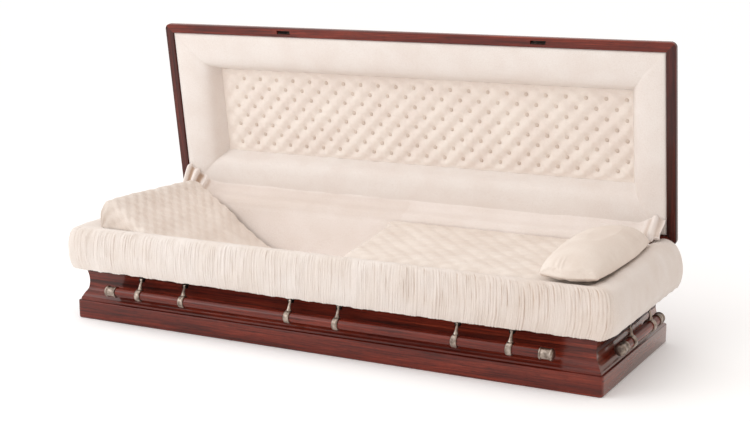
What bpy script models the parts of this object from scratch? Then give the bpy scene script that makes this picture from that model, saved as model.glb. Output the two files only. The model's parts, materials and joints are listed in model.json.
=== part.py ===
"""A full-length hardwood casket, shown open, with swing-bar handles and a fabric interior.

Metres, +Z up. +X runs to the head end, -Y is the front, and the lid hinges on the +Y side.
The origin is the middle of the underside. The lid is drawn closed and turned open on its hinge.
"""

import math

import bmesh
import bpy
from mathutils import Matrix, Vector

# Gap kept between faces that touch in the real object
GAP = 0.0003

# Case: outer size over the base moulding, and the height of its rim
BASE_LENGTH = 2.130
BASE_WIDTH = 0.726
RIM_HEIGHT = 0.347
HALF_LENGTH = BASE_LENGTH / 2
HALF_WIDTH = BASE_WIDTH / 2
MOULDING_HEIGHT = 0.106
PANEL_INSET = 0.036
PANEL_THICKNESS = 0.014
PANEL_INNER_INSET = PANEL_INSET + PANEL_THICKNESS
TOP_MOULDING_FOOT = 0.150
FLOOR_THICKNESS = 0.030
LINING_THICKNESS = 0.004
CORNER_RADIUS = 0.009

# Bedding
BED_TOP = 0.150
QUILT_TOP = 0.352
QUILT_FOOT_X = 0.028
QUILT_SKEW = 0.046
BEDDING_CLEARANCE = 0.009
THROW_HALF_WIDTH = 0.290
TUFT_PITCH = 0.077
TUFT_ROW = 0.0395

# Lid: outer size over its rim, and how far it stands open
LID_LENGTH = 2.156
LID_WIDTH = 0.752
LID_HALF_LENGTH = LID_LENGTH / 2
LID_HALF_WIDTH = LID_WIDTH / 2
LID_OPEN_DEG = 81.5
LID_RIM_FACE = 0.036
LID_RIM_DEPTH = 0.024
LID_CORNER_RADIUS = 0.022
PANEL_BORDER = 0.200
CATCH_X = {"foot": -0.509, "head": 0.569}
CATCH_HALF = 0.030
CATCH_DEPTH = 0.012

# Hinge: the axis lies on the back of the case, below the closed lid's rim and inside its edge
HINGE_Y = HALF_WIDTH
HINGE_Z = 0.3605
RIM_ABOVE_HINGE = 0.0275
EDGE_BEHIND_HINGE = 0.013
CLOSED_RIM_Z = HINGE_Z + RIM_ABOVE_HINGE
KNUCKLE_RADIUS = 0.0045
RAIL_HALF_LENGTH = HALF_LENGTH - 0.082

# Swing-bar handles, in the frame of one side: outward distance from the base face, and height
BAR_RADIUS = 0.0175
PIVOT_OUT = 0.001
PIVOT_Z = 0.184
ARM_REACH = 0.058
SIDE_REST_DEG = 18.0
END_REST_DEG = 8.0
SIDE_BAR_HALF = 0.906
SIDE_ARMS = (-0.7505, -0.5535, -0.0985, 0.0985, 0.5535, 0.7505)
END_BAR_HALF = 0.228
END_ARMS = (-0.110, 0.110)
TIP_LENGTH = 0.050
SOFFIT_Z = 0.206


def material(name, colour, roughness, metallic=0.0):
    """One Principled material, made once for each name."""
    found = bpy.data.materials.get(name)
    if found:
        return found
    made = bpy.data.materials.new(name)
    made.use_nodes = True
    shader = made.node_tree.nodes["Principled BSDF"]
    shader.inputs["Base Color"].default_value = (*colour, 1.0)
    shader.inputs["Roughness"].default_value = roughness
    shader.inputs["Metallic"].default_value = metallic
    return made


def wood():
    return material("polished_mahogany", (0.155, 0.041, 0.026), 0.28)


def cloth():
    return material("cream_crepe", (0.86, 0.76, 0.68), 0.85)


def quilting():
    return material("quilted_crepe", (0.82, 0.73, 0.63), 0.88)


def metal():
    return material("antique_nickel", (0.36, 0.30, 0.25), 0.35, 1.0)


def brass():
    return material("hinge_brass", (0.55, 0.42, 0.22), 0.35, 1.0)


def add_object(name, points, faces, finish, parent=None, smooth_deg=None):
    """A closed mesh object with its faces turned outwards."""
    mesh = bpy.data.meshes.new(name)
    mesh.from_pydata([tuple(p) for p in points], [], faces)
    shape = bmesh.new()
    shape.from_mesh(mesh)
    bmesh.ops.recalc_face_normals(shape, faces=shape.faces)
    shape.to_mesh(mesh)
    shape.free()
    mesh.materials.append(finish)
    if smooth_deg is not None:
        mesh.shade_smooth()
        mesh.set_sharp_from_angle(angle=math.radians(smooth_deg))
    made = bpy.data.objects.new(name, mesh)
    bpy.context.collection.objects.link(made)
    made.parent = parent
    return made


def loft(loops, closed=False):
    """Points and faces of a skin through equal loops: a ring if closed, else capped at both ends."""
    count = len(loops[0])
    points = [p for loop in loops for p in loop]
    spans = len(loops) if closed else len(loops) - 1
    faces = []
    for i in range(spans):
        a = i * count
        b = (i + 1) % len(loops) * count
        for j in range(count):
            k = (j + 1) % count
            faces.append((a + j, a + k, b + k, b + j))
    if not closed:
        faces.append(tuple(range(count)))
        faces.append(tuple(reversed(range(len(points) - count, len(points)))))
    return points, faces


def rounded_rectangle(half_x, half_y, radius, z, centre_y=0.0, steps=3):
    """A level loop: four straight sides joined by arcs of the radius."""
    loop = []
    for corner in range(4):
        sign_x = (1, -1, -1, 1)[corner]
        sign_y = (1, 1, -1, -1)[corner]
        for step in range(steps + 1):
            turn = math.radians(90 * (corner + step / steps))
            x = sign_x * (half_x - radius) + radius * math.cos(turn)
            y = sign_y * (half_y - radius) + radius * math.sin(turn)
            loop.append((x, centre_y + y, z))
    return loop


def frame_ring(name, half_x, half_y, radius, profile, finish, parent=None, centre_y=0.0, smooth_deg=35):
    """A mitred frame: a closed profile of (inset, height) carried round a rounded rectangle."""
    steps = 3 if radius > 0.001 else 1
    loops = [
        rounded_rectangle(half_x - inset, half_y - inset, max(radius - inset, 0.0005), z, centre_y, steps)
        for inset, z in profile
    ]
    return add_object(name, *loft(loops, closed=True), finish, parent, smooth_deg)


def box(name, low, high, finish, parent=None, bevel=0.0):
    """A board or block between two corners, with an optional small bevel."""
    points = [(x, y, z) for z in (low[2], high[2]) for x, y in (
        (low[0], low[1]), (high[0], low[1]), (high[0], high[1]), (low[0], high[1]))]
    faces = [(0, 3, 2, 1), (4, 5, 6, 7), (0, 1, 5, 4), (1, 2, 6, 5), (2, 3, 7, 6), (3, 0, 4, 7)]
    made = add_object(name, points, faces, finish, parent)
    if bevel:
        edge = made.modifiers.new("Bevel", "BEVEL")
        edge.width = bevel
        edge.segments = 1
    return made


def prism(section, low, high, across=0, name="prism", finish=None, parent=None):
    """A section of (a, b) points pushed along one axis: X for across 0, Y for across 1."""
    def place(value, a, b):
        return (value, a, b) if across == 0 else (a, value, b)
    loops = [[place(value, a, b) for a, b in section] for value in (low, high)]
    return add_object(name, *loft(loops), finish, parent)


def boolean(target, cutter, operation):
    """Joins or cuts with the exact solver and keeps the result in the mesh."""
    step = target.modifiers.new(operation, "BOOLEAN")
    step.operation = operation
    step.object = cutter
    step.solver = "EXACT"
    bpy.context.view_layer.update()
    evaluated = target.evaluated_get(bpy.context.evaluated_depsgraph_get())
    result = bpy.data.meshes.new_from_object(evaluated)
    target.modifiers.remove(step)
    target.data = result
    bpy.data.objects.remove(cutter)
    return target


def empty(name, place, turn_x_deg=0.0, turn_z_deg=0.0):
    """An empty on a joint's axis."""
    made = bpy.data.objects.new(name, None)
    bpy.context.collection.objects.link(made)
    made.location = place
    made.rotation_euler = (math.radians(turn_x_deg), 0, math.radians(turn_z_deg))
    return made


# Case woodwork


def base_moulding_profile():
    """Flat face, bead, ogee and a ledge for the panels, then down the inner side."""
    outer = [(0.0, 0.0015), (0.0, 0.0670), (0.0025, 0.0710), (0.0100, 0.0725), (0.0100, 0.0785)]
    ogee_low, ogee_high = (0.0150, 0.0800), (PANEL_INSET, 0.1035)
    ogee = []
    for step in range(6):
        t = step / 5
        inset = ogee_low[0] + (ogee_high[0] - ogee_low[0]) * t
        rise = (ogee_high[1] - ogee_low[1]) * (0.5 - 0.5 * math.cos(math.pi * t))
        ogee.append((inset, ogee_low[1] + rise))
    inner = [(PANEL_INSET, MOULDING_HEIGHT), (PANEL_INNER_INSET, MOULDING_HEIGHT), (PANEL_INNER_INSET, 0.0)]
    return [(0.0015, 0.0), *outer, *ogee, *inner]


def make_base():
    frame_ring("base_moulding", HALF_LENGTH, HALF_WIDTH, CORNER_RADIUS, base_moulding_profile(), wood())
    inset = PANEL_INNER_INSET + GAP
    half_x, half_y = HALF_LENGTH - inset, HALF_WIDTH - inset
    box("floor_board", (-half_x, -half_y, 0.0), (half_x, half_y, FLOOR_THICKNESS), wood())


def make_panels():
    """Four boards mitred at the corners, standing on the base moulding's ledge."""
    low, high = MOULDING_HEIGHT + GAP, RIM_HEIGHT
    for name, turn, half_run, half_out in (
        ("front_panel", 0, HALF_LENGTH, HALF_WIDTH),
        ("head_panel", 90, HALF_WIDTH, HALF_LENGTH),
        ("back_panel", 180, HALF_LENGTH, HALF_WIDTH),
        ("foot_panel", 270, HALF_WIDTH, HALF_LENGTH),
    ):
        outer_y, inner_y = PANEL_INSET - half_out, PANEL_INNER_INSET - half_out
        outer_x = half_run - PANEL_INSET - GAP
        inner_x = half_run - PANEL_INNER_INSET - GAP
        plan = [(-outer_x, outer_y), (outer_x, outer_y), (inner_x, inner_y), (-inner_x, inner_y)]
        spin = Matrix.Rotation(math.radians(turn), 4, "Z")
        loops = [[spin @ Vector((x, y, z)) for x, y in plan] for z in (low, high)]
        add_object(name, *loft(loops), wood())


def top_moulding_profile():
    """A cove that swells out from the panel, a level soffit, a flat face and a rounded top edge."""
    cove = []
    for step in range(5):
        t = step / 4
        cove.append((PANEL_INSET - GAP - 0.0115 * (1 - math.cos(math.pi / 2 * t)), TOP_MOULDING_FOOT + 0.052 * t))
    face = [(0.0245, SOFFIT_Z), (0.0040, SOFFIT_Z), (0.0020, SOFFIT_Z + 0.003),
            (0.0020, RIM_HEIGHT - 0.007), (0.0040, RIM_HEIGHT - 0.002), (0.0080, RIM_HEIGHT)]
    return [*cove, *face, (PANEL_INSET - GAP, RIM_HEIGHT)]


def make_top_moulding():
    frame_ring("top_moulding", HALF_LENGTH, HALF_WIDTH, CORNER_RADIUS, top_moulding_profile(), wood())
    rail_low = (-RAIL_HALF_LENGTH, HINGE_Y - 0.031, RIM_HEIGHT + GAP)
    rail_high = (RAIL_HALF_LENGTH, HINGE_Y - 0.006, CLOSED_RIM_Z - 0.003)
    box("hinge_rail", rail_low, rail_high, wood(), bevel=0.002)


# Soft interior


def make_lining():
    """A thin fabric wall inside the four panels."""
    low, high = BED_TOP + GAP, RIM_HEIGHT - 0.002
    near = PANEL_INNER_INSET + GAP
    far = near + LINING_THICKNESS
    profile = [(near, low), (near, high), (far, high), (far, low)]
    frame_ring("side_lining", HALF_LENGTH, HALF_WIDTH, 0.0, profile, cloth(), smooth_deg=None)


def make_mattress():
    inset = PANEL_INNER_INSET + 0.004
    half_x, half_y = HALF_LENGTH - inset, HALF_WIDTH - inset
    low, high = FLOOR_THICKNESS + GAP, BED_TOP
    rounding = 0.012
    loops = [
        rounded_rectangle(half_x - 0.01, half_y - 0.01, rounding, low),
        rounded_rectangle(half_x, half_y, rounding, low + 0.01),
        rounded_rectangle(half_x, half_y, rounding, high - 0.01),
        rounded_rectangle(half_x - 0.01, half_y - 0.01, rounding, high),
    ]
    add_object("mattress", *loft(loops), cloth(), smooth_deg=50)


def tufted_grid(across, along, place, depth):
    """A grid of sewn diamonds: low where a button pulls, high between, one diamond to two cells.

    across and along are the rising grid values; place turns (a, b, height) into a point. Returns
    the grid's points, rows first, and its triangles, split along the creases between buttons.
    """
    points, faces = [], []
    for j, b in enumerate(along):
        for i, a in enumerate(across):
            edge = i in (0, len(across) - 1) or j in (0, len(along) - 1)
            button = (i + j) % 2 == 0
            height = -0.6 * depth if edge else (-depth if button else 0.0)
            points.append(place(a, b, height))
    wide = len(across)
    for j in range(len(along) - 1):
        for i in range(wide - 1):
            corner = [j * wide + i, j * wide + i + 1, (j + 1) * wide + i + 1, (j + 1) * wide + i]
            if (i + j) % 2 == 0:
                faces += [(corner[0], corner[1], corner[2]), (corner[0], corner[2], corner[3])]
            else:
                faces += [(corner[0], corner[1], corner[3]), (corner[1], corner[2], corner[3])]
    return points, faces


def close_grid(points, faces, wide, floor_of):
    """Adds walls and a floor under a grid so that it becomes one closed body."""
    tall = len(points) // wide
    rim = [i for i in range(wide)]
    rim += [j * wide + wide - 1 for j in range(1, tall)]
    rim += [(tall - 1) * wide + i for i in range(wide - 2, -1, -1)]
    rim += [j * wide for j in range(tall - 2, 0, -1)]
    first = len(points)
    points = points + [floor_of(points[k]) for k in rim]
    for n, k in enumerate(rim):
        m = (n + 1) % len(rim)
        faces.append((k, rim[m], first + m, first + n))
    faces.append(tuple(first + n for n in range(len(rim))))
    return points, faces


def steps_between(low, high, size):
    """Evenly spaced values from low to high, near the size asked for."""
    count = max(2, round((high - low) / size))
    return [low + (high - low) * n / count for n in range(count + 1)]


def make_bed_quilt():
    """The raised, button-tufted half of the bed, from its middle to the head end."""
    half_y = HALF_WIDTH - PANEL_INNER_INSET - LINING_THICKNESS - BEDDING_CLEARANCE
    head_x = HALF_LENGTH - PANEL_INNER_INSET - LINING_THICKNESS - BEDDING_CLEARANCE
    across = steps_between(QUILT_FOOT_X, head_x, 1.6 * TUFT_PITCH)
    along = steps_between(-half_y, half_y, 1.6 * TUFT_PITCH)

    def place(x, y, height):
        skew = QUILT_SKEW * y / half_y * (head_x - x) / (head_x - QUILT_FOOT_X)
        rounded = 0.016 * max(0.0, -y / half_y - 0.8) / 0.2 + 0.013 * (x == across[-1])
        return (x - skew, y, QUILT_TOP + 0.006 + height - rounded)

    points, faces = tufted_grid(across, along, place, 0.008)
    points, faces = close_grid(points, faces, len(across), lambda p: (p[0], p[1], BED_TOP + GAP))
    add_object("bed_quilt", points, faces, quilting())


def throw_height(x):
    """The slope of the throw from its thick fold at the foot down to the mattress."""
    stations = ((-0.985, 0.450), (-0.965, 0.458), (-0.930, 0.443), (-0.790, 0.345), (-0.640, 0.232),
                (-0.520, 0.165))
    for (x0, z0), (x1, z1) in zip(stations, stations[1:]):
        if x <= x1:
            return z0 + (z1 - z0) * (x - x0) / (x1 - x0)
    return stations[-1][1]


def make_throw():
    """A tufted cover that lies in a slope over the foot end."""
    half_y = THROW_HALF_WIDTH
    across = [-0.985, *steps_between(-0.965, -0.520, 0.075)]
    along = steps_between(-half_y, half_y, 0.1)

    def place(x, y, height):
        return (x, y, throw_height(x) + height)

    points, faces = tufted_grid(across, along, place, 0.008)
    points, faces = close_grid(points, faces, len(across), lambda p: (p[0], p[1], BED_TOP + GAP))
    add_object("foot_throw", points, faces, quilting())


def make_pillow():
    """A crowned pillow that leans on the quilt and on the overlay's crest at the front and head."""
    foot_front, head_front, head_back, foot_back = [
        Vector(corner) for corner in ((0.816, -0.352), (1.042, -0.352), (1.036, 0.275), (0.722, 0.284))]
    loops = []
    for height, shrink in ((0.0, 0.22), (0.004, 0.04), (0.020, 0.0), (0.048, 0.05), (0.070, 0.22), (0.079, 0.50)):
        loop = []
        for a, b, _ in rounded_rectangle(1.0, 1.0, 0.22, 0.0):
            along, across = a * (1 - shrink), b * (1 - 0.7 * shrink)
            front = foot_front.lerp(head_front, 0.5 + 0.5 * along)
            back = foot_back.lerp(head_back, 0.5 + 0.5 * along)
            x, y = front.lerp(back, 0.5 + 0.5 * across)
            crest = 0.0075 + 0.0257 * max(y + 0.31, 0.0)
            lift = max(crest * min(max((x - 0.80) / 0.17, 0.0), 1.0), 0.0060 * min(max((-0.22 - y) / 0.05, 0.0), 1.0))
            loop.append((x, y, QUILT_TOP + 0.0085 + lift + height))
        loops.append(loop)
    add_object("pillow", *loft(loops), cloth(), smooth_deg=60)


def overlay_sections():
    """The overlay's closed sections as (outward, height): at the front, and at an end's two ends.

    Each runs from the inner edge over the crest, down the skirt to the hem, and back up inside.
    The ends rise towards the hinge, as the closed lid's rim does.
    """
    seat = RIM_HEIGHT + GAP
    front = [(-0.066, 0.3470), (-0.068, 0.3495), (-0.056, 0.3520), (-0.030, 0.3585), (-0.006, 0.3640),
             (0.008, 0.3580), (0.017, 0.3350), (0.020, 0.2850), (0.017, 0.2350), (0.0085, 0.1930),
             (0.0025, 0.1935), (0.0010, 0.2400), (-0.0017, 0.2900), (-0.0017, seat), (-0.050, seat)]
    end_front = [(-0.066, 0.3470), (-0.070, 0.3505), (-0.056, 0.3560), (-0.020, 0.3660), (0.016, 0.3570),
                 (0.036, 0.3350), (0.047, 0.3030), (0.052, 0.2660), (0.048, 0.2400), (0.034, 0.2110),
                 (0.028, 0.2115), (0.026, 0.2600), (0.010, 0.3200), (-0.0017, seat), (-0.050, seat)]
    end_back = [(-0.066, 0.3500), (-0.072, 0.3620), (-0.056, 0.3760), (-0.020, 0.3850), (0.016, 0.3720),
                (0.036, 0.3450), (0.047, 0.3080), (0.052, 0.2680), (0.048, 0.2400), (0.034, 0.2110),
                (0.028, 0.2115), (0.026, 0.2600), (0.010, 0.3200), (-0.0017, seat), (-0.050, seat)]
    return front, end_front, end_back


def make_overlay():
    """The padded roll and skirt folded out over the front, head and foot rims.

    Each point of the section has its own corner radius, so that the cloth is full and round
    outside while its seat follows the wooden corner. The foot end is a little less full.
    """
    back_y = HINGE_Y - 0.012
    outer_radius, inner_radius, seat_radius = 0.055, 0.012, 0.007
    seat_points, inner_points = (11, 12, 13), (0, 1, 14)
    front, end_front, end_back = overlay_sections()
    arc_steps = 5
    turns = [90 * step / arc_steps for step in range(arc_steps + 1)]
    stations = [(-1, None), *((-1, turn) for turn in turns), *((1, turn) for turn in reversed(turns)), (1, None)]
    loops = []
    for sign, turn_deg in stations:
        turn = math.radians(turn_deg or 0.0)
        share = 0.5 + 0.5 * math.cos(2 * turn)
        fullness = 1.0 if sign > 0 else 0.78
        end = end_back if turn_deg is None else end_front
        loop = []
        for n, ((front_out, front_z), (end_out, end_z)) in enumerate(zip(front, end)):
            radius = seat_radius if n in seat_points else inner_radius if n in inner_points else outer_radius
            x = HALF_LENGTH + front_out + (end_out - front_out) * fullness - radius * (1 - math.cos(turn))
            y = back_y if turn_deg is None else -(HALF_WIDTH + front_out - radius * (1 - math.sin(turn)))
            loop.append((sign * x, y, front_z + (end_z - front_z) * share))
        loops.append(loop)
    add_object("overlay", *loft(loops), cloth(), smooth_deg=50)


def make_apron():
    """The cloth between the back lining and the lid, with a bunched gusset at each end."""
    lean = math.tan(math.radians(90 - LID_OPEN_DEG))
    stations = ((0.600, 0.0, 0), (0.900, 0.0, 0), (0.940, 0.012, 0), (0.984, 0.052, 0), (0.994, 0.064, 1),
                (1.010, 0.066, 1), (1.026, 0.040, 1), (1.040, 0.010, 1))
    rows = [(-half, rise, lifted) for half, rise, lifted in reversed(stations)]
    rows += [(half, rise * 0.75, lifted) for half, rise, lifted in stations]
    loops = []
    for x, rise, lifted in rows:
        top = 0.426 + rise
        plane = HINGE_Y + 0.0285 - (top - 0.3515) * lean
        if lifted:
            section = [(0.300, 0.3890), (0.297, 0.3930), (0.299, 0.4020), (0.309, 0.4140),
                       (plane - 0.022, top - 0.010), (plane - 0.008, top), (plane - 0.003, top - 0.006),
                       (0.374, 0.3990), (0.360, 0.3900), (0.335, 0.3880), (0.315, 0.3880)]
        else:
            section = [(0.3030, 0.3480), (0.3035, 0.3580), (0.3100, 0.3780), (0.3300, 0.4070),
                       (plane - 0.014, top - 0.006), (plane - 0.006, top), (plane - 0.0025, top - 0.004),
                       (0.3370, 0.4030), (0.3210, 0.3860), (0.3110, 0.3620), (0.3080, 0.3480)]
        loops.append([(x, y, z) for y, z in section])
    add_object("hinge_apron", *loft(loops), cloth(), smooth_deg=50)


# Lid, drawn closed about its hinge axis


def lid_z(depth):
    """Height above the hinge axis of a point at this depth behind the rim's face."""
    return RIM_ABOVE_HINGE + depth


LID_MIDDLE_Y = EDGE_BEHIND_HINGE - LID_HALF_WIDTH


def lid_ring(name, profile, finish, parent, radius=LID_CORNER_RADIUS):
    heights = [(inset, lid_z(depth)) for inset, depth in profile]
    return frame_ring(name, LID_HALF_LENGTH, LID_HALF_WIDTH, radius, heights, finish, parent, LID_MIDDLE_Y)


def make_lid_rim(parent):
    """The lid's flat frame, with a pocket for each catch in its front member."""
    profile = [(0.0015, 0.0), (0.0, 0.0015), (0.0, LID_RIM_DEPTH - 0.004), (0.003, LID_RIM_DEPTH),
               (LID_RIM_FACE, LID_RIM_DEPTH), (LID_RIM_FACE, 0.0015), (LID_RIM_FACE - 0.0015, 0.0)]
    rim = lid_ring("lid_rim", profile, wood(), parent)
    front_y = EDGE_BEHIND_HINGE - LID_WIDTH
    for middle in CATCH_X.values():
        low = (middle - CATCH_HALF, front_y + 0.011, lid_z(-0.010))
        high = (middle + CATCH_HALF, front_y + 0.025, lid_z(CATCH_DEPTH))
        boolean(rim, box("catch_pocket", low, high, wood(), parent), "DIFFERENCE")
    return rim


def make_catches(parent):
    """A dark metal catch seated in each pocket: a floor plate with a raised lip."""
    front_y = EDGE_BEHIND_HINGE - LID_WIDTH
    for side, middle in CATCH_X.items():
        low_y, high_y = front_y + 0.011 + GAP, front_y + 0.025 - GAP
        floor, plate, lip = lid_z(CATCH_DEPTH - GAP), lid_z(CATCH_DEPTH - 0.003), lid_z(0.004)
        section = [(low_y, floor), (low_y, plate), (high_y - 0.005, plate), (high_y - 0.005, lip),
                   (high_y, lip), (high_y, floor)]
        name = "lid_catch_" + side
        prism(section, middle - CATCH_HALF + GAP, middle + CATCH_HALF - GAP, 0, name, metal(), parent)


def crown_outer():
    """The crown's outside as (inset, depth): a step and cove above the rim, then a long swell."""
    cove = [(0.004, LID_RIM_DEPTH + GAP), (0.005, 0.030), (0.013, 0.036), (0.017, 0.045), (0.028, 0.051)]
    swell = []
    for step in range(6):
        t = step / 5
        swell.append((0.034 + 0.236 * t, 0.054 + 0.106 * math.sin(math.pi / 2 * t) ** 0.8))
    return cove + swell


def crown_inner():
    """The crown's inside, a wall's thickness within the outside."""
    cove = [(0.020, LID_RIM_DEPTH + GAP), (0.030, 0.033), (0.045, 0.040)]
    swell = []
    for step in range(5):
        t = step / 4
        swell.append((0.054 + 0.216 * t, 0.044 + 0.101 * math.sin(math.pi / 2 * t) ** 0.8))
    return cove + swell


def make_lid_crown(parent):
    """A hollow wooden crown: the inside from the middle out, the rim's seat, and the outside back in."""
    loops = []
    for inset, depth in [*reversed(crown_inner()), *crown_outer()]:
        loops.append(rounded_rectangle(
            LID_HALF_LENGTH - inset, LID_HALF_WIDTH - inset, max(LID_CORNER_RADIUS - inset, 0.0) + 0.3 * inset + 0.001,
            lid_z(depth), LID_MIDDLE_Y))
    return add_object("lid_crown", *loft(loops), wood(), parent, 35)


def make_lid_roll(parent):
    """The smooth padded border: a long swell near the rim that turns down to the panel."""
    face = [(0.0365, 0.0100), (0.0420, 0.0045), (0.0600, 0.0025), (0.0900, 0.0030), (0.1200, 0.0070),
            (0.1450, 0.0160), (0.1620, 0.0320), (0.1740, 0.0560), (0.1850, 0.0760), (0.1997, 0.0830)]
    back = [(0.1997, 0.0990), (0.1500, 0.0860), (0.1000, 0.0600), (0.0600, 0.0360), (0.0365, 0.0220)]
    return lid_ring("lid_roll", face + back, cloth(), parent, 0.0)


def make_tufted_panel(parent):
    """The recessed panel of sewn diamonds."""
    half_x = LID_HALF_LENGTH - PANEL_BORDER
    half_y = LID_HALF_WIDTH - PANEL_BORDER
    across = steps_between(-half_x, half_x, TUFT_PITCH / 2)
    along = steps_between(LID_MIDDLE_Y - half_y, LID_MIDDLE_Y + half_y, TUFT_ROW)

    def place(x, y, height):
        return (x, y, lid_z(0.078 - height))

    points, faces = tufted_grid(across, along, place, 0.012)
    points, faces = close_grid(points, faces, len(across), lambda p: (p[0], p[1], lid_z(0.100)))
    add_object("tufted_panel", points, faces, quilting(), parent)


def make_hinge(parent):
    """A long hinge: the lid's leaf with its knuckle, and the case's leaf on the hinge rail."""
    half_x = RAIL_HALF_LENGTH - 0.002
    knuckle = [
        (KNUCKLE_RADIUS * math.cos(math.radians(45 * n + 22.5)), KNUCKLE_RADIUS * math.sin(math.radians(45 * n + 22.5)))
        for n in range(8)
    ]
    leaf = prism([(0.0005, 0.0025), (0.0030, 0.0025), (0.0030, lid_z(-0.0025)), (0.0125, lid_z(-0.0025)),
                  (0.0125, lid_z(-GAP)), (0.0005, lid_z(-GAP))], -half_x, half_x, 0, "hinge_lid_leaf", brass(), parent)
    barrel = prism(knuckle, -half_x, half_x, 0, "barrel", brass(), parent)
    boolean(leaf, barrel, "UNION")
    rail_back = HINGE_Y - 0.006 + GAP
    box("hinge_case_leaf", (-half_x, rail_back, RIM_HEIGHT + 0.001), (half_x, HINGE_Y - 0.0048, CLOSED_RIM_Z - 0.004),
        brass())


def make_lid():
    axis = empty("lid_hinge_axis", (0, HINGE_Y, HINGE_Z), -LID_OPEN_DEG)
    bpy.context.view_layer.update()
    make_lid_rim(axis)
    make_catches(axis)
    make_lid_crown(axis)
    make_lid_roll(axis)
    make_tufted_panel(axis)
    make_hinge(axis)


# Handles, drawn along X about the pivot with -Y outwards, then turned to their side


def turned(radii, sides, phase=0.0):
    """Loops about the X axis: one regular polygon for each (x, radius)."""
    return [
        [(x, r * math.cos(2 * math.pi * (n + phase) / sides), r * math.sin(2 * math.pi * (n + phase) / sides))
         for n in range(sides)]
        for x, r in radii
    ]


def shift(points, by):
    return [(p[0] + by[0], p[1] + by[1], p[2] + by[2]) for p in points]


BAR_SIDES = 10


def bar_offset(rest_deg):
    """The bar's centre from the pivot, when the arms hang at this angle outwards of straight down."""
    lean = math.radians(rest_deg)
    return Vector((0.0, -ARM_REACH * math.sin(lean), -ARM_REACH * math.cos(lean)))


def tube_ring(name, x, half, outer, inner, sides, centre, parent):
    """A short tube about X: outer and inner walls with flat ends."""
    loops = turned([(x - half, outer), (x + half, outer), (x + half, inner), (x - half, inner)], sides, 0.5)
    points, faces = loft([shift(loop, centre) for loop in loops], closed=True)
    return add_object(name, points, faces, metal(), parent, 40)


def make_arm(name, x, offset, parent):
    """An arm: an eye on the pivot pin, a shank that flares like a bell, and a collar round the bar."""
    arm = tube_ring(name, x, 0.0090, BAR_RADIUS + 0.0055, BAR_RADIUS + GAP, BAR_SIDES, offset, parent)
    eye = tube_ring("eye", x, 0.0045, 0.0082, 0.0040, 6, (0, 0, 0), parent)
    way = offset.normalized()
    side = Vector((0, -way.z, way.y))
    loops = []
    for along, half_x, half_side in ((0.0060, 0.0040, 0.0040), (0.0180, 0.0045, 0.0040),
                                     (0.0290, 0.0065, 0.0055), (ARM_REACH - BAR_RADIUS - 0.0025, 0.0088, 0.0088)):
        middle = Vector((x, 0, 0)) + way * along
        loops.append([middle + Vector((a * half_x, 0, 0)) + side * (b * half_side)
                      for a, b in ((-1, 0), (-0.6, -1), (0.6, -1), (1, 0), (0.6, 1), (-0.6, 1))])
    shank = add_object("shank", *loft(loops), metal(), parent)
    boolean(arm, shank, "UNION")
    return boolean(arm, eye, "UNION")


def make_tip(name, x, sign, offset, parent):
    """A turned metal cap on the bar's end: a bead, a plain sleeve, a bead and a domed end."""
    sleeve = [(0.0, BAR_RADIUS + 0.0040), (0.006, BAR_RADIUS + 0.0040), (0.008, BAR_RADIUS + 0.0010),
              (0.036, BAR_RADIUS + 0.0010), (0.038, BAR_RADIUS + 0.0040), (0.044, BAR_RADIUS + 0.0040),
              (0.050, 0.010)]
    loops = turned([(x + sign * along, r) for along, r in sleeve], BAR_SIDES, 0.5)
    add_object(name, *loft([shift(loop, offset) for loop in loops]), metal(), parent, 40)


def make_lug(name, low_x, high_x, arms, place):
    """A plate screwed to the soffit, with two ears and a pin for each arm."""
    top = SOFFIT_Z - GAP - PIVOT_Z
    near, far = PIVOT_OUT + 0.0045, PIVOT_OUT + 0.0235
    plate = box(name, (low_x, near, top - 0.003), (high_x, far, top), metal())
    for x in arms:
        for sign in (-1, 1):
            inner, outer = x + sign * 0.0050, x + sign * 0.0090
            section = [(far - 0.002, top - 0.002), (near + 0.001, top - 0.002), (-0.0015, 0.0085),
                       (-0.0085, 0.0010), (-0.0045, -0.0075), (0.0050, -0.0070)]
            ear = prism(section, min(inner, outer), max(inner, outer), 0, "ear", metal())
            boolean(plate, ear, "UNION")
        pin = add_object("pin", *loft(turned([(x - 0.0070, 0.0032), (x + 0.0070, 0.0032)], 6)), metal())
        boolean(plate, pin, "UNION")
    plate.data.transform(place)


def make_handle(side, turn_deg, half_out, bar_half, arms, rest_deg):
    """One swing bar with its arms and tips, and its fixed lugs, on the side that the turn points to."""
    swing = empty(side + "_handle_axis", (0, 0, 0), 0.0, turn_deg)
    spin = Matrix.Rotation(math.radians(turn_deg), 3, "Z")
    swing.location = spin @ Vector((0, -(half_out + PIVOT_OUT), PIVOT_Z))
    bpy.context.view_layer.update()
    offset = bar_offset(rest_deg)
    seat = bar_half - TIP_LENGTH - GAP
    bar = turned([(-seat, BAR_RADIUS), (seat, BAR_RADIUS)], BAR_SIDES, 0.5)
    add_object(side + "_bar", *loft([shift(loop, offset) for loop in bar]), wood(), swing, 40)
    for sign, label in ((-1, "a"), (1, "b")):
        make_tip(f"{side}_tip_{label}", sign * (seat + GAP), sign, offset, swing)
    for n, x in enumerate(arms):
        make_arm(f"{side}_arm_{n + 1}", x, offset, swing)
    for n in range(0, len(arms), 2):
        pair = arms[n:n + 2]
        make_lug(f"{side}_lug_{n // 2 + 1}", pair[0] - 0.022, pair[1] + 0.022, pair, swing.matrix_world)


def make_handles():
    make_handle("front", 0, HALF_WIDTH, SIDE_BAR_HALF, SIDE_ARMS, SIDE_REST_DEG)
    make_handle("head", 90, HALF_LENGTH, END_BAR_HALF, END_ARMS, END_REST_DEG)
    make_handle("back", 180, HALF_WIDTH, SIDE_BAR_HALF, SIDE_ARMS, SIDE_REST_DEG)
    make_handle("foot", 270, HALF_LENGTH, END_BAR_HALF, END_ARMS, END_REST_DEG)


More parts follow.
